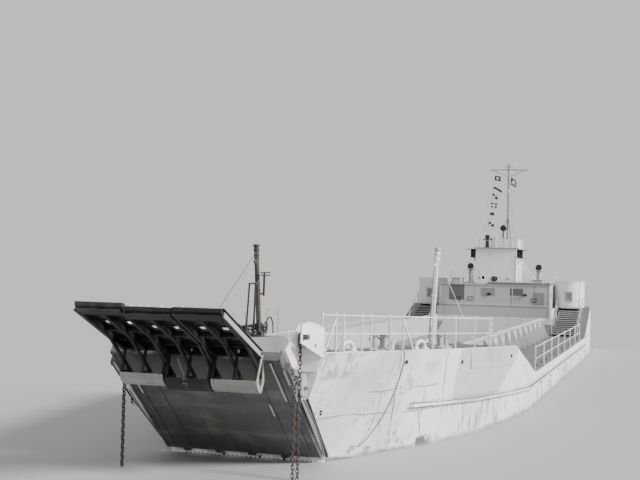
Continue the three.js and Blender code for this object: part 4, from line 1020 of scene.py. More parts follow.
def dressDoor():
    p, end, half, under = doorFittings, bowDoor["end"], bowDoor["half"], bowDoor["under"]
    seams = bmesh.new()
    for along in p["seams"]:
        addSlantedBox(seams, onDoor, (along, along + 0.035), (-half + 0.02, half - 0.02),
                      (under - 0.008, under + 0.01))
    for y in (-0.74, 0.74):
        addSlantedBox(seams, onDoor, (0.2, end - 0.03), (y - 0.02, y + 0.02), (under - 0.006, under + 0.01))
    for y in (-half, half - 0.06):
        addSlantedBox(seams, onDoor, (0.18, end), (y, y + 0.06), (under - 0.03, under + 0.01))
    addSlantedBox(seams, onDoor, (end - 0.07, end), (-half, half), (under - 0.03, under + 0.01))
    finishPiece(seams, "doorSeams", "doorPaint", "bow_ramp", bevel=0.006)
    guides = bmesh.new()
    for side in (1, -1):
        y = bowDoor["ribs"][1] * side
        spread = (y - p["guideWide"] / 2, y + p["guideWide"] / 2)
        addSlantedBox(guides, onDoor, (p["guideFrom"], end - 0.12), spread, (under - 0.048, under - 0.038))
    y = bowDoor["ribs"][0]
    addSlantedBox(guides, onDoor, (2.2, 2.75), (y - 0.025, y + 0.025), (under - 0.048, under - 0.038))
    finishPiece(guides, "doorGuideStrips", "greyPaint", "bow_ramp", bevel=0.004)
    rows = [[onDoor(along, y, under) for along in (0.3, end - 0.1)]
            for y in (-half + 0.12, half - 0.12, -0.66, 0.82)]
    rows += [[onDoor(along, y, under) for y in (-half + 0.2, half - 0.2)]
             for along in (0.32, 1.34, 2.82, end - 0.14)]
    path = pathObject("doorBoltRows", rows, [doorDown] * len(rows))
    sizes = scaled(Space=p["boltSpace"], Head=p["boltHead"], High=0.012)
    grow(studRow, path, sizes, "doorBolts", "doorPaint", "bow_ramp")
    roadway = bmesh.new()
    for k in range(14):
        along = 0.35 + k * 0.32
        addSlantedBox(roadway, onDoor, (along, along + 0.05), (-half + 0.12, half - 0.12), (0.098, 0.125))
    for y in (-half, half - 0.05):
        addSlantedBox(roadway, onDoor, (0.2, end), (y, y + 0.05), (0.098, 0.17))
    finishPiece(roadway, "doorRoadBars", "deckPaint", "bow_ramp", bevel=0.004)
    pins = bmesh.new()
    for y in (-1.9, -0.95, 0, 0.95, 1.9):
        addTurned(pins, onDoor(0, y - 0.105), (0, -1, 0), [(0.055, -0.004), (0.055, 0.018), (0.03, 0.026)],
                  12)
    finishPiece(pins, "doorHingePins", "darkSteel", bevel=0.003)


# the toe of a bay's heel: a skin over its rounded foot
toeLine = [(0.382, -0.64), (0.36, -0.765), (0.258, -0.888), (0.083, -0.963), (-0.004, -0.938)]
heelSide = {
    "outer": [(-0.05, -0.05), (0.08, -0.05), (0.17, -0.3), (0.37, -0.62), (0.355, -0.76), (0.25, -0.885),
              (0.08, -0.958),
              (-0.01, -0.93), (-0.17, -0.68), (-0.12, -0.35)],
    "hole": [(0.0, -0.22), (0.03, -0.2), (0.09, -0.32), (0.19, -0.5), (0.23, -0.62), (0.17, -0.76),
             (0.08, -0.8),
             (0.0, -0.74), (-0.04, -0.6), (-0.04, -0.36)],
}


def dressBays():
    e = extension
    tip, tipH = e["tipX"], e["tipH"]
    wide, deep, long = e["wide"], e["deep"], e["long"]
    toes, darkToes, rims, dark, rivets, rivetFacings = (bmesh.new(), bmesh.new(), bmesh.new(), bmesh.new(),
                                                        [], [])
    for name, (y, lift) in e["bays"].items():
        skin = darkToes if name == "middle" else toes
        for (x0, h0), (x1, h1) in zip(toeLine, toeLine[1:]):
            out = Vector((h0 - h1, 0, x1 - x0)).normalized() * -0.012
            outline = [Vector((tip + x, side, tipH + h + lift)) for x, h, side in
                       ((x0, h0, y + 0.01), (x1, h1, y + 0.01), (x1, h1, y + wide - 0.01),
                        (x0, h0, y + wide - 0.01))]
            addPlate(skin, outline, out)
        # nose plate, flanges of the beams and the hinge cover
        addSlantedBox(dark, onBay, (long - 0.33, long - 0.02), (y + 0.02, y + wide - 0.02),
                      (-deep - 0.012, -deep + 0.02), lift)
        for part in (0, 0.5, 1):
            side = y + part * (wide - 0.05)
            addSlantedBox(dark, onBay, (0.12, long - 0.25),
                          (side - 0.02 * (part > 0), side + 0.05 + 0.02 * (part < 1)),
                          (-deep - 0.012, -deep + 0.006), lift)
        for along in (0.62, 2.35):
            addSlantedBox(dark, onBay, (along, along + 0.04), (y + 0.05, y + wide - 0.05), (-0.1, -0.025),
                          lift)
        for row in e["slotRows"]:
            for column in e["slotColumns"]:
                low, high = y + column, y + column + e["slotWide"]
                for edge in (row - e["rim"], row + e["slotLong"]):
                    addSlantedBox(dark, onBay, (edge, edge + e["rim"]), (low, high), (-0.02, 0.004), lift)
        for along in (0.25, long - 0.38):
            rivets.append([tuple(Vector(onBay(along, side, -deep - 0.01)) + Vector((0, 0, lift)))
                           for side in (y + 0.06, y + wide - 0.06)])
            rivetFacings.append(Vector(onBay(0, 0, -1)) - Vector(onBay(0, 0, 0)))
        for side in (y + 0.09, y + wide - 0.09):
            rivets.append([(tip + 0.379, side, tipH + lift - 0.66), (tip + 0.366, side, tipH + lift - 0.75)])
            rivetFacings.append(Vector((1, 0, -0.2)))
        middle = {"stbd": -1.22, "middle": 0.0, "port": 1.22}[name]
        x, _, h = onBay(0.16, middle, -0.035)
        addTurned(rims, (x, middle, h + lift), (0.92, 0, 0.2), [(0.05, 0), (0.05, 0.012), (0.02, 0.02)], 14)
    finishPiece(toes, "heelToes", "toeGrey", "ramp_extension", bevel=0.004)
    finishPiece(darkToes, "heelToeMiddle", "blackPaint", "ramp_extension", bevel=0.004)
    finishPiece(rims, "hingeCoverHoles", "plainWhite", "ramp_extension")
    finishPiece(dark, "bayFlanges", "blackPaint", "ramp_extension", bevel=0.004)
    path = pathObject("bayRivetRows", rivets, rivetFacings)
    sizes = scaled(Space=0.09, Head=0.014, High=0.01)
    grow(studRow, path, sizes, "bayRivets", "darkSteel", "ramp_extension")


# a bare patch and a stay on the middle heel
def dressHeelPatch():
    e = extension
    tip, tipH = e["tipX"], e["tipH"]
    lift = e["bays"]["middle"][1]
    patch = bmesh.new()
    for (x0, h0), (x1, h1) in zip(toeLine[:3], toeLine[1:3]):
        out = Vector((h0 - h1, 0, x1 - x0)).normalized() * -0.02
        corners = ((x0, h0, -0.11), (x1, h1, -0.11), (x1, h1, 0.02), (x0, h0, 0.02))
        addPlate(patch, [Vector((tip + x, y, tipH + h + lift)) for x, h, y in corners], out)
    addBar(patch, (28.93, -0.31, 2.94), (29.07, -0.06, 2.53), 0.035, 0.02)
    finishPiece(patch, "heelPatch", "toeGrey", "ramp_extension")


# the port side of the port bay: its channel, and the cheek of the heel with a long hole
def dressBaySide():
    e = extension
    tip, tipH = e["tipX"], e["tipH"]
    wide, deep, long = e["wide"], e["deep"], e["long"]
    y = e["bays"]["port"][0] + wide
    lift = e["bays"]["port"][1]
    web = bmesh.new()
    addSlantedBox(web, onBay, (0.1, long - 0.2), (y, y + 0.008), (-deep + 0.035, -0.005), lift)
    outer, hole = heelSide["outer"], heelSide["hole"]
    for k in range(len(outer)):
        n = (k + 1) % len(outer)
        corners = [Vector((tip + x, y, tipH + h + lift)) for x, h in (outer[k], outer[n], hole[n], hole[k])]
        addPlate(web, corners, (0, 0.012, 0))
    bmesh.ops.remove_doubles(web, verts=web.verts[:], dist=0.0005)
    finishPiece(web, "baySideWeb", "toeGrey", "ramp_extension")
    flange = bmesh.new()
    addSlantedBox(flange, onBay, (0.08, long - 0.1), (y - 0.01, y + 0.045), (-deep - 0.01, -deep + 0.02),
                  lift)
    addSlantedBox(flange, onBay, (0.08, long - 0.06), (y - 0.01, y + 0.045), (0.015, 0.035), lift)
    low = e["bays"]["stbd"][0]
    addSlantedBox(flange, onBay, (0.08, long - 0.1), (low - 0.045, low + 0.01), (-deep - 0.01, -deep + 0.02),
                  e["bays"]["stbd"][1])
    addSlantedBox(flange, onBay, (0.08, long - 0.06), (low - 0.045, low + 0.01), (0.015, 0.035),
                  e["bays"]["stbd"][1])
    finishPiece(flange, "baySideFlanges", "blackPaint", "ramp_extension", bevel=0.004)


chainSizes = {"pitch": 0.1, "long": 0.15, "wide": 0.078, "wire": 0.0125, "lowH": -0.6}
hornSheave = {"x": 27.386, "y": 2.36, "h": 3.42, "radius": 0.18}
doorLug = {"x": 27.766, "y": 2.29, "h": 2.3837}


def makeChains():
    c, s, lug = chainSizes, hornSheave, doorLug
    sizes = scaled(Pitch=c["pitch"], Long=c["long"], Wide=c["wide"], Wire=c["wire"])
    for name, side in (("port", 1), ("stbd", -1)):
        route = [(lug["x"], lug["y"] * side, lug["h"] - 0.1), (lug["x"], lug["y"] * side, c["lowH"])]
        path = pathObject("doorChainLine", [route])
        grow(chainLinks, path, sizes, "doorChainLinks." + name, "darkSteel", "door_chain_" + name)
        reach = s["radius"] + 0.034
        turns = [math.radians(95 - 9.5 * k) for k in range(11)]
        arc = [(s["x"] + reach * math.cos(t), s["y"] * side, s["h"] + reach * math.sin(t)) for t in turns]
        path = pathObject("hornChainLine", [[*arc, (s["x"] + reach, s["y"] * side, c["lowH"])]])
        grow(chainLinks, path, sizes, "hornChainLinks." + name, "darkSteel", "hull",
             stands=("horn_chain_" + name,))
        eye = bmesh.new()
        addRing(eye, (lug["x"], lug["y"] * side, lug["h"] - 0.012), (0, 1, 0), 0.066, 0.017, 18, 8)
        finishPiece(eye, "doorChainEye." + name, "darkSteel", "door_chain_" + name,
                    stands=("door_chain_" + name,))


def dressLugs():
    lug = doorLug
    bolts, bright = bmesh.new(), bmesh.new()
    for side in (1, -1):
        place = (lug["x"], side * (lug["y"] + 0.07), lug["h"])
        addTurned(bolts, place, (0, side, 0), [(0.062, 0), (0.062, 0.02), (0.03, 0.028)], 6)
        for along in (3.84, 4.0, 4.16, 4.3):
            x, y, h = onDoor(along, side * (bowDoor["half"] + 0.11), -0.05)
            addTurned(bolts, (x, y, h), (0, side, 0), [(0.035, 0), (0.035, 0.02), (0.016, 0.028)], 6)
        x, y, h = onDoor(3.86, side * (bowDoor["half"] + 0.14), -0.02)
        addRing(bolts, (x, y, h), (0.6, 0, 0.8), 0.06, 0.02, 16, 8)
        x, y, h = onDoor(4.2, side * (bowDoor["half"] + 0.13), -0.08)
        addRing(bolts, (x, y + side * 0.02, h), (1, 0.3 * side, 0), 0.055, 0.018, 16, 8)
        addSlantedBox(bright, onDoor, (3.76, 4.36),
                      (side * (bowDoor["half"] - 0.01), side * (bowDoor["half"] + 0.05)), (-0.175, -0.155))
    finishPiece(bolts, "lugBolts", "darkSteel", "bow_ramp", bevel=0.002)
    finishPiece(bright, "lugEdges", "paleSteel", "bow_ramp", bevel=0.002)


# the stem: raked edge of the bow wings beside the door, its white face, a thin dark line, and a dark strip
# along the hull's edge that is painted shadow of the groove there
stem = {"top": (27.262, 1.93), "foot": (24.86, 0.16)}


def dressStem():
    p = stem
    (topX, topH), (footX, footH) = p["top"], p["foot"]
    rake = Vector((topX - footX, 0, topH - footH)).normalized()
    out = Vector((rake.z, 0, -rake.x))
    white, dark, front = bmesh.new(), bmesh.new(), bmesh.new()

    def strip(bm, low, high, footLow, footHigh, proud, lowBulge, highBulge):
        corners = []
        count = 6
        for k in range(count + 1):
            t = k / count
            x, h = lerp(topX, footX, t), lerp(topH, footH, t)
            swell = math.sin(math.pi * t)
            inner = lerp(low, footLow, t) + lowBulge * swell
            corners.append(((x, inner, h), (x, lerp(high, footHigh, t) + highBulge * swell, h)))
        outline = [a for a, _ in corners] + [b for _, b in reversed(corners)]
        addPlate(bm, [Vector(point) - out * 0.02 for point in outline], out * (0.02 + proud))
    strip(white, 2.3, 2.365, 2.2, 2.215, 0.02, 0.0, 0.075)
    strip(dark, 2.365, 2.385, 2.215, 2.23, 0.028, 0.075, 0.075)
    strip(white, 2.385, 2.43, 2.23, 2.265, 0.02, 0.075, 0.055)
    # dark strip against the hull's edge: painted shadow of the groove between stem and hull
    strip(dark, 2.43, 2.497, 2.265, 2.33, 0.03, 0.055, 0.0)
    # flat front of the wings over the stem: an upright bar, a small box and an eye
    addBox(front, (27.252, 2.385, 2.02), (27.276, 2.415, 3.1))
    addBox(front, (27.25, 2.3, 2.02), (27.30, 2.375, 2.56))
    finishPiece(white, "stemFaces", "plainWhite", both=True)
    finishPiece(dark, "stemLinesAndShadow", "blackPaint", both=True)
    finishPiece(front, "bowFrontBars", "plainWhite", both=True, bevel=0.006)
    eyes = bmesh.new()
    addRing(eyes, (27.29, 2.43, 2.2), (1, 0, 0), 0.03, 0.012, 12, 6)
    addTurned(eyes, (27.25, 2.43, 2.235), (1, 0, 0), [(0.016, 0), (0.016, 0.05)], 8)
    for h in (1.5, 1.57):
        middle = onSide(26.6, h, 0.0)
        addTurned(eyes, middle - Vector((0, 0.02, 0)), (0, 1, 0.1), [(0.03, 0), (0.03, 0.05), (0.015, 0.06)],
                  10)
    finishPiece(eyes, "bowFrontEyes", "darkSteel", both=True)


sill = {"x": (24.846, 24.93), "h": (-0.1, 0.045), "half": 2.2, "markSpace": 0.115}


def dressSill():
    p = sill
    lip, marks = bmesh.new(), bmesh.new()
    addBox(lip, (p["x"][0], -p["half"], p["h"][0]), (p["x"][1], p["half"], p["h"][1]))
    finishPiece(lip, "sillLip", "plainWhite", bevel=0.012)
    rows = [(-1.72, -0.75), (-0.5, 0.3), (0.55, 0.95), (1.3, 2.0)]
    for y in (-0.62, 0.42, 1.12):
        addBox(marks, (p["x"][0], y - 0.035, -0.1), (p["x"][1] + 0.014, y + 0.035, 0.06))
    finishPiece(marks, "sillPosts", "darkSteel", bevel=0.006)
    ends = [[(p["x"][1] + 0.001, low, -0.03), (p["x"][1] + 0.001, high, -0.03)] for low, high in rows]
    path = pathObject("sillMarkRows", ends)
    sizes = scaled(Space=p["markSpace"], Long=0.012, Wide=0.035, High=0.11)
    grow(crossBars, path, sizes, "sillMarks", "darkSteel")


def dressHorns():
    s = hornSheave
    dark, white = bmesh.new(), bmesh.new()
    for side in (1, -1):
        groove = [(0.2, -0.055), (0.2, -0.04), (0.165, -0.025), (0.165, 0.025), (0.2, 0.04), (0.2, 0.055),
                  (0.06, 0.07)]
        addTurned(dark, (s["x"], s["y"] * side, s["h"]), (0, side, 0), groove, 24)
        addTurned(dark, (s["x"], side * 2.25, s["h"]), (0, -side, 0),
                  [(0.075, 0), (0.075, 0.02), (0.04, 0.03)], 8)
    # thickened edges of the outer cheek: a rim round the plate, its slot and its eye
    run = math.hypot(28.14 - 27.25, 2.566 - 2.87)
    along = Vector((28.14 - 27.25, 2.566 - 2.87, 0)) / run
    out = Vector((-along.y, along.x, 0))

    def onCheek(distance, h, proud=0.0):
        return Vector((27.25, 2.87, h)) + along * distance + out * proud
    edge = [(0.02, 3.66), (0.02, 3.69), (run * 0.35, 3.81), (run * 0.7, 3.87), (run, 3.82),
            (run + 0.01, 3.39), (0.06, 3.0), (0.02, 3.0)]
    addTube(white, [onCheek(a, h, -0.02) for a, h in edge], 0.028, 8, loop=True)
    slot = [(run - 0.33, 3.43), (run - 0.02, 3.43), (run - 0.02, 3.59), (run - 0.33, 3.59)]
    addTube(white, [onCheek(a, h, -0.01) for a, h in slot], 0.02, 6, loop=True)
    addRing(white, onCheek(run - 0.56, 3.3, 0.0), out, 0.062, 0.018, 18, 8)
    finishPiece(dark, "hornSheaves", "darkSteel", bevel=0.003)
    finishPiece(white, "hornCheekRims", "whitePaint", both=True)
    inside = bmesh.new()
    for a in (0.55, 0.68):
        addTurned(inside, onCheek(run - a + 0.42, 3.5, -0.07), out, [(0.05, 0), (0.05, 0.04), (0.025, 0.05)],
                  10)
    addBar(inside, onCheek(run - 0.4, 3.5, -0.08), onCheek(run - 0.01, 3.52, -0.08), 0.03)
    finishPiece(inside, "hornPins", "darkSteel", both=True)


dressDoor()
dressBays()
dressHeelPatch()
dressBaySide()
makeChains()
dressLugs()
dressStem()
dressSill()
dressHorns()
print("bow dressed")

# the hull's sides and the fore deck

hullSide = {
    "seams": [  # x and height of each plate seam's corners on the port side
        [(26.72, 3.0), (26.62, 2.12), (27.12, 2.08)], [(23.51, 2.98), (23.07, 2.4), (22.3, 0.25)],
        [(25.51, 3.0), (25.3, 2.2)], [(26.6, 1.45), (24.2, 1.3), (22.26, 1.16), (19.0, 1.08)],
        [(18.5, 2.74), (18.27, 2.14), (15.0, 2.0), (13.3, 1.98)], [(16.4, 2.7), (16.2, 2.08)],
        [(20.3, 2.8), (19.9, 0.3)], [(24.2, 1.9), (20.4, 1.85)],
        [(21.22, 1.13), (20.83, 0.26)], [(18.51, 1.04), (18.19, 0.02)], [(17.59, 1.02), (17.23, 0.05)],
        [(15.6, 0.95), (15.4, 0.05)], [(12.4, 0.84), (12.15, 0.02)], [(10.3, 0.76), (10.2, 0.02)],
        [(8.0, 0.76), (8.0, 0.02)], [(4.6, 0.76), (4.6, 0.02)], [(1.2, 0.76), (1.2, 0.02)],
        [(-2.2, 0.76), (-2.2, 0.02)], [(-5.6, 0.76), (-5.6, 0.02)], [(-9.0, 0.76), (-9.0, 0.02)],
        [(-12.4, 0.76), (-12.4, 0.02)], [(-15.8, 0.76), (-15.8, 0.02)], [(-19.2, 1.4), (-19.2, 0.05)],
        [(-22.6, 2.6), (-22.6, 0.5)], [(-25.6, 2.7), (-25.6, 0.4)],
        [(22.0, 0.26), (17.6, 0.33), (12.0, 0.3), (-18.0, 0.3)],
        [(-19.0, 1.25), (-28.4, 1.25)],
    ],
    "seamWide": 0.022, "strakeBolts": 0.3, "boltHead": 0.02,
    "strake": [(21.7, 1.285), (20.0, 1.22), (17.6, 1.12), (13.6, 0.98), (10.6, 0.86), (8.4, 0.85),
               (-17.6, 0.84)],
}


# a weld bead: a low flat rib that follows the plating
def addBead(bm, corners, wide, proud):
    line = lineOnSide(corners, 0.0)
    for start, end in zip(line, line[1:]):
        along = (end - start).normalized()
        out = Vector((0, 1, 0.06)) - along * along.y
        across = along.cross(out).normalized() * wide / 2
        outline = [start - across, end - across, end + across, start + across]
        addPlate(bm, [point - Vector((0, 0.012, 0)) for point in outline], (0, 0.012 + proud, 0))


def dressHullSides():
    p = hullSide
    beads = bmesh.new()
    for corners in p["seams"]:
        addBead(beads, corners, p["seamWide"], 0.006)
    finishPiece(beads, "hullSeams", "hullPaint", both=True)
    # bolts along the strake, one row above and one below
    rows, facings = [], []
    for side in (1, -1):
        for out in (0.115, -0.115):
            route = lineOnSide([(x, h + out) for x, h in p["strake"]], 0.0, 1.2)
            rows.append([(x, (y + 0.002) * side, up) for x, y, up in route])
            facings.append((0.0, side, 0.0))
    sizes = scaled(Space=p["strakeBolts"], Head=p["boltHead"], High=0.014)
    grow(studRow, pathObject("strakeBoltRows", rows, facings), sizes, "strakeBolts", "darkSteel")
    face = []
    for side in (1, -1):
        route = lineOnSide(p["strake"], 0.101, 1.2)
        face.append([(x, y * side, up) for x, y, up in route])
    sizes["Space"] = 0.62 * modelScale
    grow(studRow, pathObject("strakeFaceRows", face, [(0, 1, 0), (0, -1, 0)]), sizes, "strakeFaceBolts",
         "greyPaint")
    # drain pipes on the sides: three high up forward, seven low down amidships
    bits = bmesh.new()
    for x, h in ((22.9, 2.62), (19.1, 2.4), (14.1, 2.3)):
        addTurned(bits, onSide(x, h, -0.02), (0, 1, -0.2),
                  [(0.06, 0), (0.06, 0.045), (0.045, 0.05), (0.04, 0.0)], 14)
    for x in (6.4, 2.8, -0.8, -4.4, -8.0, -11.6, -15.2):
        addTurned(bits, (x, 5.895, 0.72), (0, 1, -0.2),
                  [(0.05, 0), (0.05, 0.05), (0.035, 0.055), (0.03, 0.01)], 12)
    finishPiece(bits, "hullDrains", "darkSteel", both=True)
    edges = bmesh.new()
    for (x0, x1) in ((27.2, 24.785), (24.785, 22.4), (22.4, 20.0), (20.0, 17.6), (17.6, 13.62)):
        a, b = onSide(x0, foreDeck(x0), -0.03), onSide(x1, foreDeck(x1), -0.03)
        addBar(edges, a + Vector((0, 0, 0.012)), b + Vector((0, 0, 0.012)), 0.075, 0.03)
    addBar(edges, onSide(13.6, wingTop(13.6), -0.03), onSide(8.4, 1.26, -0.03), 0.075, 0.03)
    addBar(edges, (8.4, 5.875, 1.262), (-17.75, 5.875, 1.262), 0.075, 0.03)
    addBar(edges, (-17.85, 5.87, 1.275), (-22.75, 5.82, 2.91), 0.075, 0.03)
    addBar(edges, (-22.8, 5.8, 2.912), (-28.5, 5.42, 2.912), 0.075, 0.03)
    finishPiece(edges, "deckEdgeBars", "whitePaint", both=True, bevel=0.006)


foreDeckFittings = {
    "fairleads": [(25.75, 0.24), (21.75, 0.2)],  # x and turn of each fairlead on the deck's edge
}


def addFairlead(bm, x, turn):
    y = sideAt(x, 9) - 0.24 - max(0.0, x - 24.785) * 0.1
    deck = foreDeck(x)
    along = Vector((math.cos(turn), -math.sin(turn), 0))
    foot = Vector((x, y, deck))
    addPlate(bm, [foot + along * a + Vector((-along.y, along.x, 0)) * b for a, b in
                  ((-0.42, -0.11), (0.42, -0.11), (0.42, 0.11), (-0.42, 0.11))], (0, 0, 0.035))
    arch = []
    for k in range(13):
        t = math.pi * k / 12
        arch.append(foot + along * 0.3 * math.cos(t) + Vector((0, 0, 0.06 + 0.2 * math.sin(t) ** 0.7)))
    addTube(bm, arch, 0.055, 10)
    for a in (-0.3, 0.3):
        addTurned(bm, foot + along * a, (0, 0, 1), [(0.1, 0.02), (0.09, 0.06), (0.07, 0.1)], 12)


def dressForeDeck():
    leads = bmesh.new()
    for x, turn in foreDeckFittings["fairleads"]:
        addFairlead(leads, x, turn)
    finishPiece(leads, "fairleads", "whitePaint", both=True, bevel=0.006)
    # bitts: collars at their feet, and bright cross pins
    bits, tops = bmesh.new(), bmesh.new()
    for x, y, turn in ((24.12, 3.46, 0.24), (19.75, 4.38, 0.09)):
        along = Vector((math.cos(turn), -math.sin(turn), 0))
        foot = Vector((x, y, foreDeck(x)))
        for out in (-0.28, 0.28):
            addTurned(bits, foot + along * out, (0, 0, 1), [(0.14, 0.045), (0.14, 0.07), (0.105, 0.1)], 16)
            addTurned(tops, foot + along * out, (0, 0, 1),
                      [(0.118, 0.439), (0.12, 0.45), (0.09, 0.475), (0.03, 0.485)], 16)
            for end in (-0.2, 0.2):
                addTurned(tops, foot + along * (out + end) + Vector((0, 0, 0.35)),
                          along * (1 if end > 0 else -1),
                          [(0.042, -0.01), (0.045, 0.01), (0.02, 0.02)], 10)
        for k in (-0.4, 0.4):
            for side in (-0.12, 0.12):
                spot = foot + along * k + Vector((-along.y, along.x, 0)) * side + Vector((0, 0, 0.045))
                addTurned(bits, spot, (0, 0, 1), [(0.025, 0), (0.025, 0.014), (0.012, 0.02)], 6)
    finishPiece(bits, "bittCollars", "paleSteel", both=True, bevel=0.003)
    finishPiece(tops, "bittCaps", "toeGrey", both=True)
    # lashing eyes and plate straps on the fore deck
    eyes = bmesh.new()
    for x, y in ((26.4, 2.7), (22.6, 3.4), (21.2, 3.3), (18.6, 4.3), (17.4, 3.6), (14.6, 4.9), (22.2, 2.95)):
        addRing(eyes, (x, y, foreDeck(x) + 0.045), (1, 0.2, 0), 0.05, 0.014, 14, 6)
        addTurned(eyes, (x, y, foreDeck(x) - 0.01), (0, 0, 1), [(0.08, 0), (0.08, 0.016), (0.03, 0.022)], 12)
    finishPiece(eyes, "foreDeckEyes", "darkSteel", both=True)
    straps = bmesh.new()
    for x in (25.6, 23.0, 20.4, 17.8, 15.2):
        addBox(straps, (x - 0.02, 2.95, foreDeck(x) - 0.01),
               (x + 0.02, sideAt(x, 9) - 0.1 - max(0, x - 24.785) * 0.35, foreDeck(x) + 0.012))
    finishPiece(straps, "foreDeckStraps", "deckPaint", both=True)
    dressKingposts()
    dressHandWinch()
    dressRails()


kingpost = {"x": 15.47, "footY": 3.12, "headY": 3.31, "top": 5.91, "bands": (4.3, 5.55, 5.75), "guyEye": 5.65}


def dressKingposts():
    pale, dark = bmesh.new(), bmesh.new()
    x, top, guyEye = kingpost["x"], kingpost["top"], kingpost["guyEye"]
    footY, headY = kingpost["footY"], kingpost["headY"]
    deck = foreDeck(x)
    for side, bm in ((1, pale), (-1, dark)):
        def onPost(h):
            return Vector((x, side * lerp(footY, headY, (h - deck) / (top - deck)), h))
        lean = onPost(5.9) - onPost(deck)
        for h in (deck + 0.35, *kingpost["bands"]):
            addTurned(bm, onPost(h), lean, [(0.092, -0.01), (0.108, 0), (0.108, 0.05), (0.092, 0.06)], 16)
        for out in (-0.1, 0.1):
            addRing(bm, onPost(guyEye) + Vector((out, 0, 0)) * 1.3, (0, 1, 0), 0.045, 0.014, 12, 6)
        for k in range(4):
            turn = math.pi / 4 + k * math.pi / 2
            way = Vector((math.cos(turn), math.sin(turn), 0))
            foot = onPost(deck + 0.02)
            addPlate(bm, [foot + way * 0.09, foot + way * 0.22, foot + way * 0.22 + Vector((0, 0, 0.03)),
                          foot + way * 0.09 + Vector((0, 0, 0.2))],
                     Vector((-way.y, way.x, 0)) * 0.014)
        # guys, and a block under the head
        for foot in ((18.9, side * 3.95), (12.75, side * 4.4)):
            out = 0.09 if foot[0] > x else -0.09
            drop = 0.45 if foot[0] < shoulder["top"] else 0
            low = Vector((*foot, foreDeck(max(shoulder["top"], foot[0])) - drop))
            addTube(bm, [onPost(guyEye) + Vector((out, 0, 0)), low], 0.011, 6)
        block = onPost(5.35) + Vector((0.17, 0, 0))
        addTurned(bm, block - Vector((0, 0.04, 0)), (0, 1, 0),
                  [(0.07, 0), (0.085, 0.015), (0.06, 0.04), (0.085, 0.065), (0.07, 0.08)], 16)
        addBar(bm, block, block + Vector((0, 0, 0.24)), 0.03, 0.05)
        addTube(bm, [block + Vector((0.06, 0, -0.02)), onPost(deck + 0.6) + Vector((0.13, 0, 0))], 0.012, 6)
        cleat = onPost(deck + 0.7) + Vector((0.1, 0, 0))
        addTube(bm, [cleat + Vector((0.04, 0, -0.14)), cleat + Vector((0.05, 0, 0)),
                     cleat + Vector((0.04, 0, 0.14))], [0.012, 0.022, 0.012], 8)
        addBar(bm, cleat - Vector((0.05, 0, 0)), cleat + Vector((0.05, 0, 0)), 0.04)
    finishPiece(pale, "kingpostFittings.port", "plainWhite")
    finishPiece(dark, "kingpostFittings.stbd", "darkSteel")


# hand winch at the foot of the starboard kingpost, with its wheel and a loop of rod
handWinch = {"y": -3.2, "drums": (15.0, 16.5), "wheelX": 14.9, "wheel": 0.2, "turns": 7.0}


def dressHandWinch():
    bm = bmesh.new()
    deck = foreDeck(15.8)
    y, drums = handWinch["y"], handWinch["drums"]
    for x in drums:
        for cheek in (y, y - 0.36):
            outline = ((x - 0.2, -0.01), (x + 0.2, -0.01), (x + 0.05, 0.38), (x - 0.05, 0.38))
            addPlate(bm, [(along, cheek, deck + h) for along, h in outline], (0, 0.05, 0))
    for x in drums:
        addTube(bm, [(x, y - 0.5, deck + 0.3), (x, y + 0.2, deck + 0.3)], 0.03, 10)
        addTurned(bm, (x, y - 0.3, deck + 0.3), (0, 1, 0),
                  [(0.17, 0), (0.17, 0.02), (0.1, 0.03), (0.1, 0.27), (0.17, 0.28), (0.17, 0.3)], 20)
    addTube(bm, [(14.75, y - 0.17, deck + 0.12), (16.75, y - 0.17, deck + 0.12)], 0.05, 10)
    addTube(bm, [(14.9, y - 0.1, deck + 0.42), (16.6, y - 0.1, deck + 0.4)], 0.035, 8)
    hub = Vector((handWinch["wheelX"], y + 0.12, deck + 0.3))
    addRing(bm, hub, (0, 1, 0), handWinch["wheel"], 0.02, 24, 8)
    for k in range(4):
        t = math.pi * k / 4
        reach = Vector((math.cos(t), 0, math.sin(t))) * handWinch["wheel"]
        addTube(bm, [hub - reach, hub + reach], 0.012, 6)
    loop = []
    for k in range(17):
        t = math.pi * k / 16
        loop.append((14.15 + 0.42 * math.cos(t), y, deck + 0.02 + 0.62 * math.sin(t) ** 0.8))
    addTube(bm, loop, 0.026, 8)
    finishPiece(bm, "handWinch", "darkSteel", bevel=0.003)
    turns = {"Turns": handWinch["turns"], **scaled(Inner=0.105, Outer=0.11, Rise=0.24, Wire=0.012)}
    path = pathObject("handWinchMiddles", [[(x, y - 0.27, deck + 0.3) for x in drums]], [(0.0, 1.0, 0.0)])
    grow(coil, path, turns, "handWinchWire", "darkSteel")


# profiles of a rail post's top and foot: radius, height
railKnob = [(0.026, -0.005), (0.034, 0.012), (0.03, 0.035), (0.01, 0.045)]
railFoot = [(0.075, 0), (0.075, 0.02), (0.042, 0.03), (0.036, 0.09)]


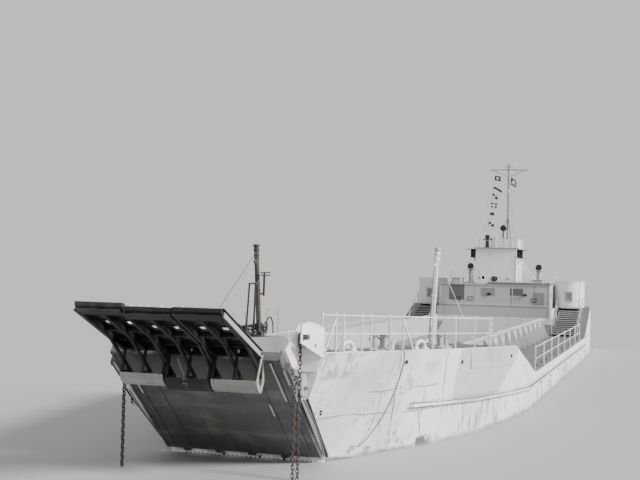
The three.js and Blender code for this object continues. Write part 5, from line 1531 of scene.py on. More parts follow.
def dressRails():
    bm, feet = bmesh.new(), bmesh.new()
    xs = (27.17, 26.6, 26.27, 25.45, 25.03, 23.98, 23.13, 21.16, 19.5, 17.91, 16.18)
    for x in xs:
        ahead = max(0.0, x - 24.785)
        y, deck = sideAt(x - ahead, 9) - 0.14 - ahead * 0.33, foreDeck(x)
        addTurned(bm, (x, y, deck + 0.97), (0, 0, 1), railKnob, 10)
        addTurned(bm, (x, y, deck + 0.475), (1, 0, 0), [(0.034, -0.035), (0.034, 0.035)], 10)
        addTurned(feet, (x, y, deck - 0.01), (0, 0, 1), railFoot, 12)
    for x in (7.4, 4.2, 1, -2.2, -5.4, -8.6, -11.8, -15):
        addTurned(bm, (x, 5.785, 2.22), (0, 0, 1), railKnob, 10)
        addTurned(feet, (x, 5.785, 1.24), (0, 0, 1), railFoot, 12)
    finishPiece(bm, "railKnobs", "plainWhite", both=True)
    finishPiece(feet, "railFeet", "greyPaint", both=True)
    # frames inboard on the starboard fore deck
    frames = bmesh.new()
    for x0, x1 in ((16.25, 17.4), (12.75, 14.0)):
        lowX = max(13.62, x0)
        base0 = foreDeck(lowX) if x0 > 13.6 else wingTop(x0)
        base1 = foreDeck(x1)
        addTube(frames, [(x0, -3.35, base0 - 0.01), (x0, -3.35, 3.58), (x1, -3.35, 3.62),
                         (x1, -3.35, base1 - 0.01)], 0.022, 8)
    addTube(frames, [(14.84, -3.45, foreDeck(14.84) - 0.01), (14.84, -3.45, 3.52)], 0.02, 8)
    addTurned(frames, (14.84, -3.45, 3.5), (0, 0, 1), [(0.03, 0), (0.055, 0.03), (0.05, 0.07), (0.02, 0.09)],
              12)
    finishPiece(frames, "deckFrames", "greyPaint")


# the well: bars across the tank deck, lashing eyes, coaming capping and its lugs
well = {"barFrom": -19.0, "barTo": 24.2, "barSpace": 0.75, "half": 2.15}


def dressWell():
    p = well
    path = pathObject("tankDeckLine", [[(p["barFrom"], 0, 0.205), (p["barTo"], 0, 0.205)]])
    sizes = scaled(Space=p["barSpace"], Long=2 * p["half"], Wide=0.05, High=0.045)
    grow(crossBars, path, sizes, "tankDeckBars", "deckPaint")
    rows = [[(-19.2, y, 0.202), (24.4, y, 0.202)] for y in (-2.6, 2.6)]
    sizes = scaled(Space=0.3, Head=0.03, High=0.018)
    grow(studRow, pathObject("tankDeckStudRows", rows, [(0, 0, 1)] * 2), sizes, "tankDeckStuds", "deckPaint")
    eyes, capping = bmesh.new(), bmesh.new()
    for k in range(14):
        x = -18 + k * 1.9
        addRing(eyes, (x, 2.95, 0.26), (1, 0, 0), 0.06, 0.018, 12, 6)
        addBox(eyes, (x - 0.1, 2.85, 0.2), (x + 0.1, 3.05, 0.225))
        addRing(eyes, (x, 5.55, 1.31), (0, 1, 0), 0.05, 0.014, 12, 6)
        addBox(eyes, (x - 0.07, 5.5, 1.249), (x + 0.07, 5.6, 1.265))
    finishPiece(eyes, "lashingEyes", "darkSteel", both=True)
    addTube(capping, [(-17.7, 3.28, 2.365), (9.9, 3.28, 2.365)], 0.04, 8)
    for k in range(12):
        x = -16.9 + k * 2.2
        addBox(capping, (x + 0.9, 3.31, 1.7), (x + 1.06, 3.325, 1.95))
    finishPiece(capping, "coamingCapping", "greyPaint", both=True, bevel=0.003)


dressHullSides()
dressForeDeck()
dressWell()
print("hull and fore deck dressed")

# deckhouse, wheelhouse and bridge

house = {
    "front": -19.8, "end": -26.2, "half": 3.5, "roof": 4.4, "windowX": (-21.0, -24.6),
    "windowH": (3.55, 3.87),
    "boltSpace": 0.22,
}
wheelhouse = {"front": -20.4, "back": -22.9, "half": 1.31, "top": 6.66}


def addFrame(bm, corners, wide, out, push):
    middle = sum((Vector(c) for c in corners), Vector()) / len(corners)
    for a, b in zip(corners, corners[1:] + corners[:1]):
        a, b = Vector(a), Vector(b)
        outline = [a, b, b + (b - middle).normalized() * wide, a + (a - middle).normalized() * wide]
        addPlate(bm, outline, Vector(out) * push)


def dressWindows():
    p = house
    half = p["half"]
    frames, panes = bmesh.new(), bmesh.new()
    for x in p["windowX"]:
        low, high = p["windowH"]
        corners = [(x - 0.16, half, low), (x + 0.16, half, low), (x + 0.16, half, high),
                   (x - 0.16, half, high)]
        addFrame(frames, corners, 0.05, (0, 1, 0), 0.025)
        addBox(panes, (x - 0.17, half - 0.07, low - 0.01), (x + 0.17, half - 0.058, high + 0.01))
        hood = ((-0.2, half, 0.06), (0.2, half, 0.06), (0.2, half + 0.1, 0.03), (-0.2, half + 0.1, 0.03))
        addPlate(frames, [(x + along, y, high + up) for along, y, up in hood], (0, 0, 0.015))
    finishPiece(frames, "windowFrames", "greyPaint", both=True, bevel=0.003)
    finishPiece(panes, "windowPanes", "glass", both=True)


# rims and seams of the deckhouse
def dressHouseTrim():
    p = house
    trim = bmesh.new()
    front, end, half, roof = p["front"], p["end"], p["half"], p["roof"]
    addBox(trim, (front - 0.03, -half, roof - 0.1), (front + 0.035, half, roof - 0.02))
    for side in (-1, 1):
        y = side * half
        low, high = sorted((y, y + side * 0.035))
        addBox(trim, (end, low, roof - 0.1), (front + 0.035, high, roof - 0.02))
        addBox(trim, (front - 0.02, y - 0.035, 2.32), (front + 0.02, y + 0.035, roof - 0.1))
    addBox(trim, (end - 0.035, -half, roof - 0.1), (end + 0.02, half, roof - 0.02))
    for y in (-1.17, 1.17):
        addBox(trim, (front - 0.01, y - 0.03, 2.92), (front + 0.012, y + 0.03, roof - 0.1))
    addBox(trim, (front - 0.01, -half, 3.0), (front + 0.03, half, 3.05))
    finishPiece(trim, "deckhouseTrim", "greyPaint", bevel=0.006)


def dressHouseBolts():
    p = house
    front, end, roof = p["front"], p["end"], p["roof"]
    rows = [[(front + 0.012, y, 3.12), (front + 0.012, y, roof - 0.14)] for y in (-3.42, -1.1, 1.24, 3.42)]
    rows += [[(front + 0.036, -3.4, roof - 0.06), (front + 0.036, 3.4, roof - 0.06)]]
    facings = [(1, 0, 0)] * len(rows)
    for side in (1, -1):
        rows.append([(end + 0.1, side * 3.536, roof - 0.06), (front - 0.1, side * 3.536, roof - 0.06)])
        rows.append([(end + 0.1, side * 3.502, 2.98), (front - 0.1, side * 3.502, 2.98)])
        facings += [(0, side, 0)] * 2
    sizes = scaled(Space=p["boltSpace"], Head=0.016, High=0.01)
    grow(studRow, pathObject("deckhouseBoltRows", rows, facings), sizes, "deckhouseBolts", "greyPaint")


# roof front: a stowed bar over the edge, hooded air slots below it
def dressRoofFront():
    front = house["front"]
    bar, dark = bmesh.new(), bmesh.new()
    addTube(bar, [(front + 0.02, -0.38, 4.47), (front + 0.05, 3.55, 4.5)], 0.05, 8)
    addBox(bar, (front - 0.16, -0.5, 4.395), (front + 0.06, 3.66, 4.43))
    for y in (-0.3, 0.7, 1.7, 2.7, 3.5):
        addBox(bar, (front - 0.03, y - 0.03, 4.4), (front + 0.03, y + 0.03, 4.53))
    finishPiece(bar, "roofBar", "midPaint", bevel=0.004)
    for y in (-0.31, 1.98):
        points = [(front + 0.01, y + 0.14 * math.cos(math.pi * k / 8),
                   3.68 + 0.13 * math.sin(math.pi * k / 8)) for k in range(9)]
        addPlate(dark, points, (0.06, 0, 0))
    for y in (2.55, -2.3, -1.5):
        addFrame(dark, [(front + 0.005, y - 0.14, 3.3), (front + 0.005, y + 0.14, 3.3),
                        (front + 0.005, y + 0.14, 3.52), (front + 0.005, y - 0.14, 3.52)], 0.03, (1, 0, 0),
                        0.02)
    finishPiece(dark, "airHoods", "blackPaint", bevel=0.004)


def dressRoofLockers():
    roofs = bmesh.new()
    for x, y, size in ((-20.6, -2.5, (0.5, 0.3, 0.3)), (-22.0, 2.55, (0.7, 0.35, 0.28)),
                       (-25.5, -1.4, (0.4, 0.5, 0.35))):
        a, b, c = size
        addBox(roofs, (x - a, y - b, 4.401), (x + a, y + b, 4.4 + c))
        addBox(roofs, (x - a - 0.03, y - b - 0.03, 4.4 + c), (x + a + 0.03, y + b + 0.03, 4.44 + c))
        for out in (-0.5, 0.5):
            addBox(roofs, (x + a * out - 0.04, y + b + 0.03, 4.36 + c),
                   (x + a * out + 0.04, y + b + 0.055, 4.43 + c))
    finishPiece(roofs, "roofLockers", "greyPaint", bevel=0.01)


def dressRoofRails():
    rails = bmesh.new()
    for side in (1, -1):
        y = side * 3.42
        for x in (-23.2, -24.65, -26.1):
            addTube(rails, [(x, y, 4.4), (x, y, 5.22)], 0.022, 8)
            addTurned(rails, (x, y, 4.4), (0, 0, 1), [(0.06, 0), (0.06, 0.018), (0.03, 0.03)], 12)
        for h in (4.82, 5.22):
            addTube(rails, [(-23.2, y, h), (-26.1, y, h)], 0.012, 6)
    for h in (4.82, 5.22):
        addTube(rails, [(-26.1, -3.42, h), (-26.1, 3.42, h)], 0.012, 6)
    for y in (-1.9, 1.9):
        addTube(rails, [(-26.1, y, 4.4), (-26.1, y, 5.22)], 0.022, 8)
    finishPiece(rails, "roofRails", "plainWhite")


# dogs, hinges and a coaming round a steel door
def dressDoorway(name, x, y, wide, low, high, body, frameBody="hull"):
    frame, dogs = bmesh.new(), bmesh.new()
    half = wide / 2 + 0.045
    corners = [(x, y - half - 0.04, low - 0.06), (x, y + half + 0.04, low - 0.06),
               (x, y + half + 0.04, high + 0.06), (x, y - half - 0.04, high + 0.06)]
    addFrame(frame, corners, 0.045, (-1, 0, 0), 0.03)
    finishPiece(frame, name + "Frame", "greyPaint", frameBody, bevel=0.004)
    face = x - 0.062
    for h in (low + 0.2, (low + high) / 2, high - 0.2):
        for side in (1,):
            addTurned(dogs, (face, y + half * side - 0.05, h + 0.08), (-1, 0, 0),
                      [(0.03, 0), (0.03, 0.03), (0.016, 0.04)], 10)
            addBar(dogs, (face - 0.02, y + half * side - 0.05, h + 0.08),
                   (face - 0.02, y + half * side - 0.17, h + 0.03), 0.022)
        addTube(dogs, [(face + 0.02, y - half + 0.015, h - 0.06), (face + 0.02, y - half + 0.015, h + 0.06)],
                0.022, 8)
    for a, b in ((low + 0.06, low + 0.085), (high - 0.085, high - 0.06)):
        addBox(dogs, (face - 0.012, y - half + 0.07, a), (face, y + half - 0.07, b))
    for a in (-half + 0.07, half - 0.095):
        addBox(dogs, (face - 0.012, y + a, low + 0.06), (face, y + a + 0.025, high - 0.06))
    finishPiece(dogs, name + "Dogs", "plainWhite", body, bevel=0.002)


def wheelhouseFaces():
    return tuple(wheelhouse[name] for name in ("front", "back", "half", "top"))


def dressScuttles():
    front = wheelhouse["front"]
    rims, panes = bmesh.new(), bmesh.new()
    for y, h, size in ((-1.0, 4.77, 0.075), (0.8, 4.78, 0.075)):
        addTurned(rims, (front, y, h), (1, 0, 0),
                  [(size + 0.02, 0), (size + 0.02, 0.018), (size * 0.7, 0.026)], 16)
    for y, h, size in ((-1.0, 4.77, 0.05), (0.8, 4.78, 0.05), (-0.1, 4.70, 0.15)):
        addTurned(panes, (front + 0.02, y, h), (1, 0, 0),
                  [(size, 0), (size * 0.9, 0.014), (size * 0.3, 0.02)], 24)
    addRing(panes, (front + 0.012, -0.1, 4.7), (1, 0, 0), 0.165, 0.025, 28, 8)
    finishPiece(rims, "scuttleRims", "whitePaint")
    finishPiece(panes, "scuttlePanes", "glass")


def dressWheelhousePlates():
    front, back, half, top = wheelhouseFaces()
    plates = bmesh.new()
    for y in (-half, half - 0.04):
        addBox(plates, (front, y, 4.42), (front + 0.012, y + 0.04, top))
    for side in (1, -1):
        for x in (front - 0.04, -21.65, back):
            low, high = sorted((side * half, side * (half + 0.012)))
            addBox(plates, (x, low, 4.42), (x + 0.04, high, top))
        low, high = sorted((side * half, side * (half + 0.02)))
        addBox(plates, (back, low, 4.401), (front, high, 4.46))
    addBox(plates, (front, -half, 4.401), (front + 0.02, half, 4.46))
    finishPiece(plates, "wheelhouseSeams", "whitePaint", bevel=0.003)


def dressWheelhouseBolts():
    front, back, half, top = wheelhouseFaces()
    rows = [[(front + 0.013, y, 4.5), (front + 0.013, y, top - 0.08)] for y in (-half + 0.02, half - 0.02)]
    rows += [[(front + 0.001, -half + 0.1, top - 0.07), (front + 0.001, half - 0.1, top - 0.07)]]
    facings = [(1, 0, 0)] * 3
    for side in (1, -1):
        rows.append([(front - 0.1, side * (half + 0.001), top - 0.07),
                     (back + 0.1, side * (half + 0.001), top - 0.07)])
        facings.append((0, side, 0))
    sizes = scaled(Space=0.17, Head=0.012, High=0.008)
    grow(studRow, pathObject("wheelhouseBoltRows", rows, facings), sizes, "wheelhouseBolts", "whitePaint")


# side lamps: black boxes with a visor at the roof's corners
def dressSideLamps():
    half = wheelhouse["half"]
    lamps, lenses = bmesh.new(), bmesh.new()
    addBox(lamps, (-20.85, half + 0.03, 6.1), (-20.55, half + 0.12, 6.58))
    addBox(lamps, (-20.85, half + 0.26, 6.1), (-20.55, half + 0.36, 6.58))
    addBox(lamps, (-20.85, half + 0.03, 6.08), (-20.62, half + 0.36, 6.58))
    addBox(lamps, (-20.95, half - 0.02, 6.58), (-20.45, half + 0.62, 6.62))
    addBar(lamps, (-20.8, half + 0.4, 6.09), (-20.8, half - 0.005, 6.02), 0.04)
    finishPiece(lamps, "sideLampBoxes", "blackPaint", both=True, bevel=0.006)
    addTurned(lenses, (-20.64, half + 0.19, 6.2), (0, 0, 1),
              [(0.02, -0.02), (0.055, 0), (0.065, 0.12), (0.055, 0.24), (0.02, 0.26)], 14)
    finishPiece(lenses, "sideLampLenses", "glass", both=True)


# the inclined ladder at the wheelhouse's port side
def dressBridgeSteps():
    steps = bmesh.new()
    for x in (-21.55, -21.15):
        addBar(steps, (x, 2.3, 4.41), (x, 1.5, 5.6), 0.03, 0.07)
        addTube(steps, [(x, 2.36, 4.7), (x, 1.62, 5.9), (x, 1.45, 6.1)], 0.014, 6)
    for k in range(6):
        t = (k + 0.7) / 6.2
        y, h = lerp(2.3, 1.5, t), lerp(4.41, 5.6, t)
        addBox(steps, (-21.54, y - 0.06, h - 0.012), (-21.16, y + 0.06, h + 0.012))
    finishPiece(steps, "bridgeSteps", "plainWhite", bevel=0.002)


def dressBridgeEdge():
    front, back, half, top = wheelhouseFaces()
    cap = bmesh.new()
    edge = [(front + 0.09, -half - 0.09), (front + 0.09, half + 0.09), (back - 0.09, half + 0.09),
            (back - 0.09, -half - 0.09)]
    addTube(cap, [(x, y, top + 0.035) for x, y in edge], 0.028, 8, loop=True)
    finishPiece(cap, "bridgeRoofEdge", "midPaint")


def dressBridgeScreen():
    screen = bmesh.new()
    edge = [(-20.83, 0.18), (-20.83, 1.3), (-22.57, 1.3), (-22.57, 0.18)]
    addTube(screen, [(x, y, 7.29) for x, y in edge], 0.026, 8, loop=True)
    for x in (-21.2, -21.7, -22.2):
        addBar(screen, (x, 1.335, 6.73), (x, 1.335, 7.28), 0.03, 0.02)
    for y in (0.5, 0.95):
        addBar(screen, (-20.795, y, 6.73), (-20.795, y, 7.28), 0.03, 0.02)
    finishPiece(screen, "bridgeScreenEdge", "whitePaint")


def dressBridgeRail():
    front, back, half, top = wheelhouseFaces()
    rail = bmesh.new()
    posts = [(front + 0.02, -half), (front + 0.02, 0.0), (back + 0.05, -half), (back + 0.05, 0.0),
             (-21.65, -half)]
    for x, y in posts:
        addTube(rail, [(x, y, top + 0.055), (x, y, top + 0.9)], 0.016, 8)
    for h in (top + 0.5, top + 0.9):
        addTube(rail, [(front + 0.02, 0.0, h), (front + 0.02, -half, h), (back + 0.05, -half, h),
                       (back + 0.05, 0.0, h)], 0.009, 6)
    finishPiece(rail, "bridgeRail", "plainWhite")


# binnacle, two voice pipes and a rod aerial
def dressBridgeFittings():
    top = wheelhouse["top"]
    fittings = bmesh.new()
    addTurned(fittings, (-21.5, -0.75, top + 0.05), (0, 0, 1),
              [(0.19, 0), (0.19, 0.06), (0.13, 0.1), (0.12, 0.62),
               (0.17, 0.68), (0.17, 0.74), (0.14, 0.82), (0.06, 0.88)], 20)
    for side in (1, -1):
        addTurned(fittings, (-21.5, -0.75 + side * 0.14, top + 0.6), (0, side, 0),
                  [(0.02, 0), (0.05, 0.03), (0.065, 0.07), (0.05, 0.11), (0.02, 0.13)], 14)
    for y in (-0.2, -0.34):
        pipe = [(-20.75, y, top + 0.05), (-20.75, y, top + 0.62), (-20.7, y, top + 0.68)]
        addTube(fittings, pipe, [0.025, 0.025, 0.05], 12)
    finishPiece(fittings, "bridgeFittings", "darkSteel", bevel=0.003)
    aerial = bmesh.new()
    addTube(aerial, [(-20.9, -0.62, top + 0.05), (-20.9, -0.62, top + 0.2), (-20.9, -0.62, 7.3)],
            [0.03, 0.022, 0.012], 8)
    finishPiece(aerial, "rodAerial", "blackPaint")


# signal lamp: its shutter, rim and yoke
def dressSignalLamp():
    lamp = bmesh.new()
    x, y, h = -20.98, 0.34, wheelhouse["top"] + 1.36
    addRing(lamp, (x + 0.005, y, h), (1, 0, 0), 0.16, 0.022, 28, 8)
    for k in range(-3, 4):
        reach = math.sqrt(0.15 ** 2 - (k * 0.042) ** 2)
        addBar(lamp, (x + 0.01, y - reach, h + k * 0.042), (x + 0.01, y + reach, h + k * 0.042), 0.006, 0.034)
    yoke = [(x - 0.15, y + 0.2 * math.sin(t), h - 0.2 * math.cos(t))
            for t in [math.radians(-95 + 19 * k) for k in range(11)]]
    addTube(lamp, yoke, 0.018, 8)
    for side in (1, -1):
        addTurned(lamp, (x - 0.15, y + side * 0.165, h), (0, side, 0),
                  [(0.03, 0), (0.03, 0.05), (0.045, 0.055), (0.045, 0.07)], 10)
    addTube(lamp, [(x - 0.31, y, h + 0.02), (x - 0.4, y, h + 0.05), (x - 0.46, y, h - 0.02)], 0.014, 8)
    addTurned(lamp, (x - 0.1, y, h + 0.16), (0, 0, 1),
              [(0.04, 0), (0.04, 0.03), (0.06, 0.035), (0.05, 0.055)], 12)
    finishPiece(lamp, "signalLampShutter", "blackPaint")


vent = {"x": -24.6, "y": 2.3, "mouthH": 5.5, "bands": (4.78, 5.2)}
funnel = {"x": -24.4, "bands": (4.55, 5.1, 5.62), "rim": 5.905, "bolts": 0.46, "steamPipe": (-24.92, -0.12)}


def dressVents():
    mouths, dark = bmesh.new(), bmesh.new()
    for side in (1, -1):
        x, y = vent["x"], side * vent["y"]
        axis = Vector((0.42, 0, 0.12)).normalized()
        face = Vector((x + 0.3, y, vent["mouthH"]))
        addRing(mouths, face + axis * 0.01, axis, 0.235, 0.024, 26, 8)
        addTurned(mouths, (x, y, 4.4), (0, 0, 1), [(0.26, 0), (0.26, 0.03), (0.18, 0.06), (0.17, 0.12)], 18)
        for h in vent["bands"]:
            addTurned(mouths, (x, y, h), (0, 0, 1),
                      [(0.162, 0), (0.176, 0.006), (0.176, 0.03), (0.162, 0.036)], 18)
        # a near-black disc across each cowl's mouth: painted shade inside the cowl
        addTurned(dark, face + axis * 0.004, axis, [(0.215, 0), (0.21, 0.008), (0.1, 0.003)], 24)
        for turn in (0.6, 2.5):
            handle = ((0.16, 5.05), (0.21, 5.1), (0.21, 5.22), (0.16, 5.27))
            addTube(mouths, [around(x, y, radius, turn, h) for radius, h in handle], 0.012, 6)
    finishPiece(mouths, "ventRims", "greyPaint")
    finishPiece(dark, "ventMouthShade", "dark")


def dressFunnel():
    x = funnel["x"]
    stack, black = bmesh.new(), bmesh.new()
    for h in funnel["bands"]:
        addTurned(stack, (x, 0, h), (0, 0, 1),
                  [(0.421, 0), (0.436, 0.004), (0.436, 0.03), (0.421, 0.034)], 32)
    for k in range(8):
        turn = k * math.pi / 4 + 0.3
        way = Vector((math.cos(turn), math.sin(turn), 0))
        addTurned(stack, Vector((x, 0, 4.48)) + way * funnel["bolts"], (0, 0, 1),
                  [(0.022, 0), (0.022, 0.016), (0.01, 0.022)], 6)
    pipeX, pipeY = funnel["steamPipe"]
    addTube(stack, [(pipeX, pipeY, h) for h in (4.4, 5.7, 5.95)], [0.05, 0.05, 0.06], 12)
    finishPiece(stack, "funnelBands", "greyPaint")
    rim = [around(x, 0, 0.42, math.pi * k / 16, funnel["rim"]) for k in range(32)]
    addTube(black, rim, 0.024, 8, loop=True)
    addTurned(black, (x, 0, 4.75), (0, 0, 1), [(0.365, 0), (0.365, 0.02), (0.1, 0.01)], 24)
    finishPiece(black, "funnelLip", "blackPaint")


# the mast's rigging and its flags

mast = {"x": -25.6, "top": 12.6, "wire": 0.009, "half": 1.22}
flagLine = {"top": (-0.93, 12.08), "foot": (-1.56, 6.72)}
flags = [
    # height, hoist, fly, how far it droops, pattern
    (11.64, 0.34, 0.42, 0.12, "frame"), (10.98, 0.16, 0.66, 0.42, "plain"),
    (10.4, 0.34, 0.4, 0.2, "quarters"),
    (9.76, 0.34, 0.44, 0.06, "cross"), (9.16, 0.2, 0.34, 0.06, "plain"), (8.42, 0.34, 0.42, -0.1, "quarters"),
]


def rigMast():
    m = mast
    x = m["x"]
    wires, fittings = bmesh.new(), bmesh.new()
    lines = [
        [(x, m["half"], 12.19), (x + 0.4, 0.62, 6.72)], [(x, -m["half"], 12.19), (x + 0.4, -1.62, 6.72)],
        [(x, m["half"] - 0.22, 12.19), (x + 0.8, 0.35, 8.2), (x + 1.1, 0.3, 6.74)],
        [(x, flagLine["top"][0], 12.18), (x, flagLine["foot"][0], 6.0)],
        [(x, 0.55, 12.19), (x + 0.02, 0.12, 9.2)],
    ]
    for side in (1, -1):
        lines.append([(x, side * 0.05, 11.6), (-26.05, side * 3.36, 4.42)])
        lines.append([(x + 0.05, side * 0.02, 11.9), (-22.85, side * 1.28, 6.72)])
    lines.append([(x - 0.05, 0, 11.9), (-28.3, 0.6, 2.95)])
    for line in lines:
        addTube(wires, line, m["wire"], 6)
    finishPiece(wires, "mastWires", "greyPaint")
    for y in (-1.22, 1.22, -0.93, 1.0, 0.55):
        addTurned(fittings, (x, y, 12.13), (0, 0, -1),
                  [(0.02, -0.03), (0.04, -0.02), (0.045, 0.03), (0.02, 0.06)], 10)
    for y in (-1.26, 1.26, -0.62, 0.62):
        addTurned(fittings, (x, y, 12.2), (0, 1 if y > 0 else -1, 0),
                  [(0.045, -0.02), (0.048, 0.03), (0.02, 0.045)], 10)
    for h in (9.1, 10.4, 11.62, 12.0):
        addTurned(fittings, (x, 0, h), (0, 0, 1), [(0.072, 0), (0.1, 0.01), (0.1, 0.06), (0.072, 0.07)], 14)
    addTurned(fittings, (x, 0, 12.58), (0, 0, 1), [(0.05, 0), (0.09, 0.02), (0.09, 0.05), (0.05, 0.07)], 12)
    addTurned(fittings, (x + 0.16, 0, 10.6), (0, 0, 1),
              [(0.04, -0.02), (0.09, 0), (0.09, 0.16), (0.11, 0.17), (0.04, 0.22)], 14)
    addBar(fittings, (x + 0.05, 0, 10.58), (x + 0.2, 0, 10.58), 0.05, 0.03)
    for side in (1, -1):
        addTurned(fittings, (x + 1.5, side * 0.9, 4.4), (0, 0, 1),
                  [(0.13, 0), (0.13, 0.025), (0.06, 0.04), (0.055, 0.1)], 14)
    addTurned(fittings, (x, 0, 4.4), (0, 0, 1), [(0.17, 0), (0.17, 0.03), (0.09, 0.05), (0.075, 0.14)], 16)
    finishPiece(fittings, "mastFittings", "greyPaint")


# bunting: woven wool, its pattern by the flag's own UV map
def makeFlagCloth(pattern):
    material, tree, surface = newMaterial("flag." + pattern)
    uv = put(tree, "ShaderNodeUVMap").outputs["UV"]
    u, v = axes(tree, uv)["X"], axes(tree, uv)["Y"]

    def band(value, low, high):
        return calc(tree, "MULTIPLY", calc(tree, "GREATER_THAN", value, low),
                    calc(tree, "LESS_THAN", value, high))
    if pattern == "quarters":
        mask = calc(tree, "ABSOLUTE", calc(tree, "SUBTRACT", calc(tree, "GREATER_THAN", u, 0.5),
                                           calc(tree, "GREATER_THAN", v, 0.5)))
    elif pattern == "cross":
        mask = calc(tree, "MAXIMUM", band(u, 0.36, 0.64), band(v, 0.34, 0.66))
        mask = calc(tree, "SUBTRACT", 1.0, mask)
    elif pattern == "frame":
        mask = calc(tree, "SUBTRACT", 1.0, calc(tree, "MULTIPLY", band(u, 0.28, 0.72), band(v, 0.26, 0.74)))
    else:
        mask = put(tree, "ShaderNodeValue").outputs[0]
        mask.default_value = 1.0
    weave = put(tree, "ShaderNodeTexWave",
                {"Vector": stretched(tree, uv, 60.0, 60.0, 1.0), "Scale": 1.0}).outputs["Fac"]
    faded = noise(tree, uv, 5.0, 5.0)
    dark = mixColor(tree, faded, (0.018, 0.02, 0.024, 1.0), (0.06, 0.06, 0.065, 1.0))
    light = mixColor(tree, faded, (0.55, 0.54, 0.5, 1.0), (0.72, 0.71, 0.68, 1.0))
    tree.links.new(mixColor(tree, mask, light, dark), surface.inputs["Base Color"])
    surface.inputs["Roughness"].default_value = 0.92
    surface.inputs["Sheen Weight"].default_value = 0.25
    bump = put(tree, "ShaderNodeBump", {"Height": weave, "Strength": 0.25, "Distance": 0.001})
    tree.links.new(bump.outputs["Normal"], surface.inputs["Normal"])
    return material


def makeFlag(index, h, hoist, fly, droop, pattern, y0=None, x0=None):
    t = (flagLine["top"][1] - h) / (flagLine["top"][1] - flagLine["foot"][1])
    y0 = lerp(flagLine["top"][0], flagLine["foot"][0], t) if y0 is None else y0
    x0 = mast["x"] if x0 is None else x0
    columns, rows = 16, 8
    bm = bmesh.new()
    uv = bm.loops.layers.uv.new("flagMap")
    grid = []
    for j in range(rows + 1):
        line = []
        for i in range(columns + 1):
            u, v = i / columns, j / rows
            wave = 0.035 * math.sin(6.5 * u + index + 1.2 * v) * u
            run = fly * u
            drop = droop * run * (0.7 + 0.3 * u)
            line.append(bm.verts.new((x0 - wave - 0.25 * run, y0 + run
                                      * math.sqrt(max(0.05, 1 - 0.0625 - droop ** 2)),
                                      h + hoist * (v - 0.5) - drop + 0.012 * math.sin(5 * u))))
        grid.append(line)
    for j in range(rows):
        for i in range(columns):
            face = bm.faces.new((grid[j][i], grid[j][i + 1], grid[j + 1][i + 1], grid[j + 1][i]))
            for loop, (a, b) in zip(face.loops, ((i, j), (i + 1, j), (i + 1, j + 1), (i, j + 1))):
                loop[uv].uv = (a / columns, b / rows)
    for vert in bm.verts:
        vert.co = at(*vert.co)
    mesh = bpy.data.meshes.new("flag")
    bm.to_mesh(mesh)
    bm.free()
    mesh.materials.append(flagCloths[pattern])
    for face in mesh.polygons:
        face.use_smooth = True
    piece = bpy.data.objects.new("signalFlag.%d" % index, mesh)
    bpy.context.scene.collection.objects.link(piece)
    thick = piece.modifiers.new("thickness", "SOLIDIFY")
    thick.thickness = 0.0012
    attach(piece, "hull")


def makeFlags():
    for index, (h, hoist, fly, droop, pattern) in enumerate(flags):
        makeFlag(index + 1, h, hoist, fly, droop, pattern)
    makeFlag(len(flags) + 1, 11.42, 0.5, 0.42, 0.45, "frame", y0=0.13, x0=mast["x"] - 0.05)


# lookout tubs, lockers, steps' grips and handrails
tub = {"x": -22.75, "y": 4.52, "radius": 0.96, "rim": 4.62, "foot": 3.05, "bands": (3.12, 3.9), "ribs": 10}


def dressTubs():
    x, y, radius, rim, foot = (tub[name] for name in ("x", "y", "radius", "rim", "foot"))
    bm, dark = bmesh.new(), bmesh.new()
    turns = [2 * math.pi * k / 40 for k in range(40)]
    addTube(bm, [around(x, y, radius - 0.02, t, rim + 0.012) for t in turns], 0.042, 8, loop=True)
    for h in tub["bands"]:
        addTube(bm, [around(x, y, radius, t, h) for t in turns], 0.016, 6, loop=True)
    for k in range(tub["ribs"]):
        t = 2 * math.pi * (k + 0.25) / tub["ribs"]
        if abs(math.atan2(math.sin(t), math.cos(t))) < 0.45:
            continue
        spot = Vector(around(x, y, radius, t, foot))
        addBar(bm, spot, spot + Vector((0, 0, 1.55)), 0.03, 0.045)
    finishPiece(bm, "tubRims", "whitePaint", both=True)
    locker = bmesh.new()
    face = x + radius + 0.05
    addFrame(locker, [(face, y - 0.19, 3.44), (face, y + 0.19, 3.44), (face, y + 0.19, 3.9),
                      (face, y - 0.19, 3.9)], 0.07, (1, 0, 0), 0.03)
    addBox(locker, (face - 0.06, y - 0.33, 3.97), (face + 0.04, y + 0.33, 4.0))
    for h in (3.5, 3.84):
        addTube(locker, [(face + 0.03, y + 0.27, h - 0.04), (face + 0.03, y + 0.27, h + 0.04)], 0.018, 8)
    finishPiece(locker, "tubLockerFrames", "greyPaint", both=True, bevel=0.004)
    addBox(dark, (face - 0.02, y - 0.2, 3.43), (face + 0.008, y + 0.2, 3.91))
    finishPiece(dark, "tubLockerDoors", "midPaint", both=True, bevel=0.003)
    mount = bmesh.new()
    addTurned(mount, (x, y, foot), (0, 0, 1),
              [(0.34, 0), (0.34, 0.04), (0.16, 0.08), (0.12, 0.7), (0.16, 0.74), (0.16, 0.86), (0.05, 0.9)],
              20)
    for k in range(6):
        addTurned(mount, around(x, y, 0.28, k * math.pi / 3, foot + 0.04), (0, 0, 1),
                  [(0.03, 0), (0.03, 0.02), (0.014, 0.028)], 6)
    finishPiece(mount, "tubPedestals", "darkSteel", both=True, bevel=0.003)


def sternRise(x):
    return lerp(1.25, 2.9, min(1.0, max(0.0, (x + 17.8) / (-22.8 + 17.8))))


